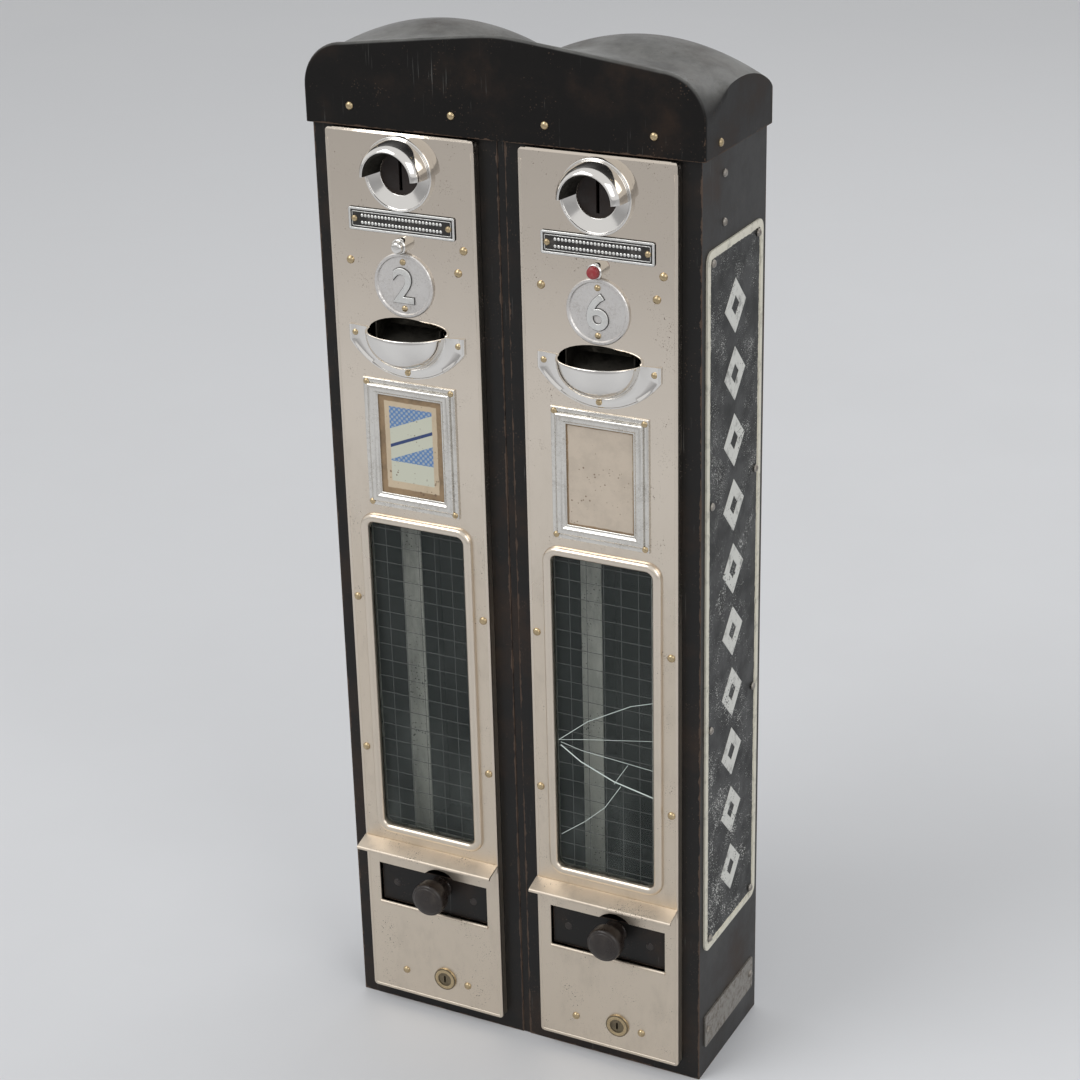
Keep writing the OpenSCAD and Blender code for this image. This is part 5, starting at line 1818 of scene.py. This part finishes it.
@dataclass
class Drawer(Trim):
    """Drawer: the folded lip under its opening, its knob and the two screws on its front.

    The knob's shoulder and face are measured from its largest radius.
    """

    lip_r: float = 1.4 * MM
    lip_drop: float = 1.7 * MM
    lip_past: float = 1.0 * MM
    lip_back: float = 0.3 * MM
    lip_steps: int = 8
    knob_l: float = 26.0
    head: float = 0.55
    neck: float = 0.6
    stem: Outline = ((0.0, -3.4), (3.6, -3.4), (3.6, -1.7), (2.0, -1.7), (2.0, 0.0))
    collar: Outline = ((1.5, 0.0), (0.0, 2.2))
    throat: Outline = ((0.0, -1.0),)
    shoulder: Outline = ((-1.2, 0.0), (0.0, 2.4))
    face: Outline = ((0.0, -4.2), (-1.0, -2.0), (-2.6, -1.6), (-3.2, -1.0))
    crown: Outline = ((0.5, -0.2), (0.0, 0.0))
    knob_soft: float = 1.4
    knob_steps: int = 72
    knob_sharp_deg: float = 60.0
    screw: Outline = ((0.0, 0.55), (2.24, 0.5), (3.2, 0.1), (3.2, -0.3), (0.0, -0.3))
    screw_soft: float = 0.5
    screw_pitch: float = 70 * MM
    screw_up: float = 0.5 * MM
    screw_steps: int = 24

    def build(self) -> None:
        """Builds lip, knob and screws. Only the lip belongs to the front."""
        self.drawer = self.box("drawer")
        self.lip()
        self.knob()
        self.screws()

    def lip(self) -> None:
        """Folded lip along the lower edge of the opening: a half-round bar."""
        r, z = self.lip_r, self.drawer.low[2] - self.lip_drop
        half = self.drawer.size[0] / 2 + self.lip_past
        t = arc(0, 180, self.lip_steps)
        back = self.sheet_y + self.lip_back
        bow = np.stack([self.sheet_y - r * np.sin(t), z + r * np.cos(t)], -1)
        draft = Draft()
        draft.bar(along_x(np.vstack([bow, [[back, z - r], [back, z + r]]]), self.x - half, self.x + half))
        self.put(draft, "drawer_lip", "nickel", self.finishes.dull)

    def knob(self) -> None:
        """Turned mushroom with a slightly domed face and a rim line."""
        box = self.box("drawer_knob")
        x, _, z = box.middle
        r, tall = box.size[0] / 2 / MM, self.knob_l
        neck, under = self.neck * r, (1 - self.head) * tall
        crown = [(share * r, up + tall) for share, up in self.crown]
        profile = filleted([*self.stem, *moved(self.collar, neck), *moved(self.throat, neck, under),
                            *moved(self.shoulder, r, under), *moved(self.face, r, tall), *crown],
                           self.knob_soft)
        draft = Draft()
        draft.spindle(facing_out(turned(profile, self.knob_steps), x, box.low[1] + tall * MM, z))
        self.put(draft, "pull_knob", "bakelite", self.finishes.resin, "drawer_knob", body="drawer_box",
                 sharp_deg=self.knob_sharp_deg)

    def screws(self) -> None:
        """Two domed screw heads: one turned profile, twice."""
        head = turned(filleted(self.screw, self.screw_soft), self.screw_steps)
        head = facing_out(head, self.x, self.drawer.low[1], self.drawer.middle[2] + self.screw_up)
        shift = centred(2, self.screw_pitch)[:, None] * np.array([1.0, 0.0, 0.0])
        draft = Draft()
        draft.spindle(head + shift[:, None, None])
        self.put(draft, "drawer_screws", "bare_steel", self.finishes.resin, body="drawer_box")


@dataclass
class LockRing(Trim):
    """Rounded ring round the lock's plug."""

    profile: Outline = ((5.6, -1.6), (5.6, 1.6), (6.6, 2.05), (8.6, 1.95), (9.7, 0.9), (9.7, -0.3))
    soft: float = 0.7
    steps: int = 56

    def build(self) -> None:
        """Turns the ring's profile."""
        x, _, z = self.box("lock_barrel").middle
        draft = Draft()
        draft.ring(facing_out(turned(filleted(self.profile, self.soft), self.steps), x, self.sheet_y, z))
        self.put(draft, "lock_ring", "brass", self.finishes.brass)


@dataclass
class Column:
    """One column: the finishes of its CAD nodes, and the trim on its front."""

    side: Side
    finishes: Finishes
    frame: dict[str, Any]
    number: str
    case_wear: float = 2.4 * MM
    drawer_wear: float = 1.2 * MM

    def build(self) -> None:
        """Builds and dresses every piece of the column."""
        self.coat_nodes()
        self.coat_card()
        given = self.side, self.finishes
        EdgeFold(*given).build()
        Window(*given).build()
        CoinEntry(*given).build()
        Label(*given).build()
        PriceNumber(*given, self.number).build()
        ReturnButton(*given).build()
        ReturnCup(*given).build()
        CardFrame(*given).build()
        DripLedge(*given).build()
        Drawer(*given).build()
        LockRing(*given).build()

    def coat_nodes(self) -> None:
        """Finishes the CAD nodes that keep their shape."""
        f, named = self.finishes, self.side.named
        for part, wear in (("case", self.case_wear), ("drawer", self.drawer_wear)):
            coat(self.frame, f.black(named(f"{part} paint"), Box.of(named(part)), wear), named(part))
        for finish, *nodes in (
            (f.panel, "panel"),
            (f.window, "window_glass"),
            (f.fibre, "coin_plate"),
            (f.black_fill_and_shadow, "label_plate"),
            (f.plate, "price_disc"),
            (f.brass, "rivets", "reject_lever"),
            (f.dark_brass, "lock_plug", "lock_barrel"),
            (f.galvanised, "drawer_shelf", "coin_tube", "cash_box", "glass_retainer"),
            (f.zinc, "magazine"),
            # The coin chute is near black as painted shade inside it.
            (f.shade_dark_metal, "coin_chute"),
            (f.chrome, "button_bush"),
            (f.steel, "button_spring"),
        ):
            coat(self.frame, finish, *map(named, nodes))

    def coat_card(self) -> None:
        """Prints the left card, and leaves the right one bare with a narrower margin."""
        card, name = self.side.named("card"), self.side.named("card print")
        corners = Box.of(card).corners
        if self.side is Side.LEFT:
            paper = CardPrint(name, CardDesign.BANDS, *corners, cream=(0.58, 0.47, 0.33), margin=6.3 * MM)
        else:
            paper = CardPrint(name, CardDesign.BARE, *corners, cream=(0.56, 0.48, 0.39), margin=3.0 * MM)
        coat(self.frame, self.finishes.make(paper), card)


@dataclass(frozen=True)
class Viewpoint:
    """Camera that was fitted to the photograph: place in metres, angles in degrees, lens in millimetres."""

    azimuth: float = 27.48
    elevation: float = 23.56
    roll: float = -1.43
    place: Place = (0.78574, -1.50733, 1.16076)
    lens: float = 81.6
    sensor: float = 36.0
    clip_end: float = 150.0

    def aim(self) -> None:
        """Makes the scene's camera from the fitted directions."""
        a, e, r = (math.radians(v) for v in (self.azimuth, self.elevation, self.roll))
        back = Vector((math.sin(a) * math.cos(e), -math.cos(a) * math.cos(e), math.sin(e)))
        right = Vector((math.cos(a), math.sin(a), 0))
        up = back.cross(right)
        across = right * math.cos(r) + up * math.sin(r)
        over = up * math.cos(r) - right * math.sin(r)
        lens = bpy.data.cameras.new("viewpoint")
        lens.lens, lens.sensor_width, lens.clip_end = self.lens, self.sensor, self.clip_end
        camera = bpy.data.objects.new("viewpoint", lens)
        turn = Matrix((across, over, back)).transposed().to_4x4()
        camera.matrix_world = Matrix.Translation(self.place) @ turn
        bpy.context.scene.collection.objects.link(camera)
        bpy.context.scene.camera = camera


@dataclass(frozen=True)
class Lamp:
    """A large square lamp that faces the machine's middle."""

    name: str
    place: Place
    size: float
    power: float
    target: Place = (0.0, 0.0, 0.4)

    def hang(self) -> None:
        """Makes the lamp."""
        data = bpy.data.lights.new(self.name, "AREA")
        data.size, data.energy = self.size, self.power
        lamp = bpy.data.objects.new(self.name, data)
        lamp.location = self.place
        lamp.rotation_euler = (Vector(self.target) - Vector(self.place)).to_track_quat("-Z", "Y").to_euler()
        bpy.context.scene.collection.objects.link(lamp)


@dataclass(frozen=True)
class Studio:
    """Pale floor and plain soft light."""

    reach: float = 60.0
    gap: float = 0.2 * MM
    sky: float = 0.55
    background: float = 0.8
    lamps: tuple[Lamp, ...] = (
        Lamp("key", place=(-1.6, -2.2, 3.2), size=2.2, power=60.0),
        Lamp("fill", place=(2.8, -1.6, 2.2), size=2.0, power=26.0),
        Lamp("back", place=(0.6, 2.4, 2.8), size=2.0, power=22.0),
    )

    def build(self, shared: SharedEffects) -> None:
        """Makes the floor, the world and the lamps.

        Args:
            shared: The shared node groups.
        """
        self.make_floor(PaleFloor("pale floor").make(shared))
        self.make_world()
        for lamp in self.lamps:
            lamp.hang()
        bpy.context.scene.view_settings.view_transform = "Standard"

    def make_floor(self, finish: Material) -> None:
        """A wide plain floor just under the machine, not part of the object.

        Args:
            finish: Its material.
        """
        ends = np.array([-self.reach, self.reach])
        x, y = np.meshgrid(ends, ends, indexing="ij")
        draft = Draft()
        draft.grid(np.stack([x, y, 0 * x - self.gap], -1))
        floor = draft.build("floor")
        floor.data.materials.append(finish)

    def make_world(self) -> None:
        """Even light from all round, with a pale background."""
        world = bpy.data.worlds.new("studio")
        world.use_nodes = True
        g = Graph(world.node_tree)
        path = g.node("ShaderNodeLightPath").outputs
        seen = g.most(path["Is Camera Ray"], path["Is Glossy Ray"], path["Is Transmission Ray"])
        strength = g.plus(g.times(seen, self.background - self.sky), self.sky)
        light = g.node("ShaderNodeBackground", {"Color": (1.0, 1.0, 1.0, 1.0), "Strength": strength})
        g.node("ShaderNodeOutputWorld", {"Surface": light.outputs[0]})
        bpy.context.scene.world = world


def main() -> None:
    """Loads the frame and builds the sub-assemblies in order."""
    logging.basicConfig(level=logging.INFO, format="%(message)s")
    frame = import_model()
    shared = SharedEffects()
    Viewpoint().aim()
    Studio().build(shared)
    finishes = Finishes(shared, Box.of("left_panel"), Box.of("left_window_glass"), Box.of("left_magazine"))
    hood, sign = Box.of("hood"), Box.of("sign_plate")
    # The hood's upturned faces get a grey film: dust, and a painted sheen with it.
    hood_paint = finishes.black("hood paint with dust and painted sheen", hood, wear=2.2 * MM, dust=0.75, gloss=0.15)
    dress(Hood(hood).build(), "case", "black_paint", hood_paint, "hood")
    strip_paint = finishes.black("strip paint", Box.of("column_spacer"), wear=1.2 * MM)
    coat(frame, strip_paint, "column_spacer")
    coat(frame, finishes.steel, "joining_bolts", "side_screws", "door_pivots", "small_plate")
    coat(frame, finishes.brass, "hood_screws")
    coat(frame, finishes.make(SignEnamel("sign enamel", *sign.corners)), "sign_plate")
    dress(SideSign(sign).build(), "case", "sign_enamel", finishes.pale)
    for side, number in ((Side.LEFT, "2"), (Side.RIGHT, "6")):
        Column(side, finishes, frame, number).build()


if __name__ == "__main__":
    main()
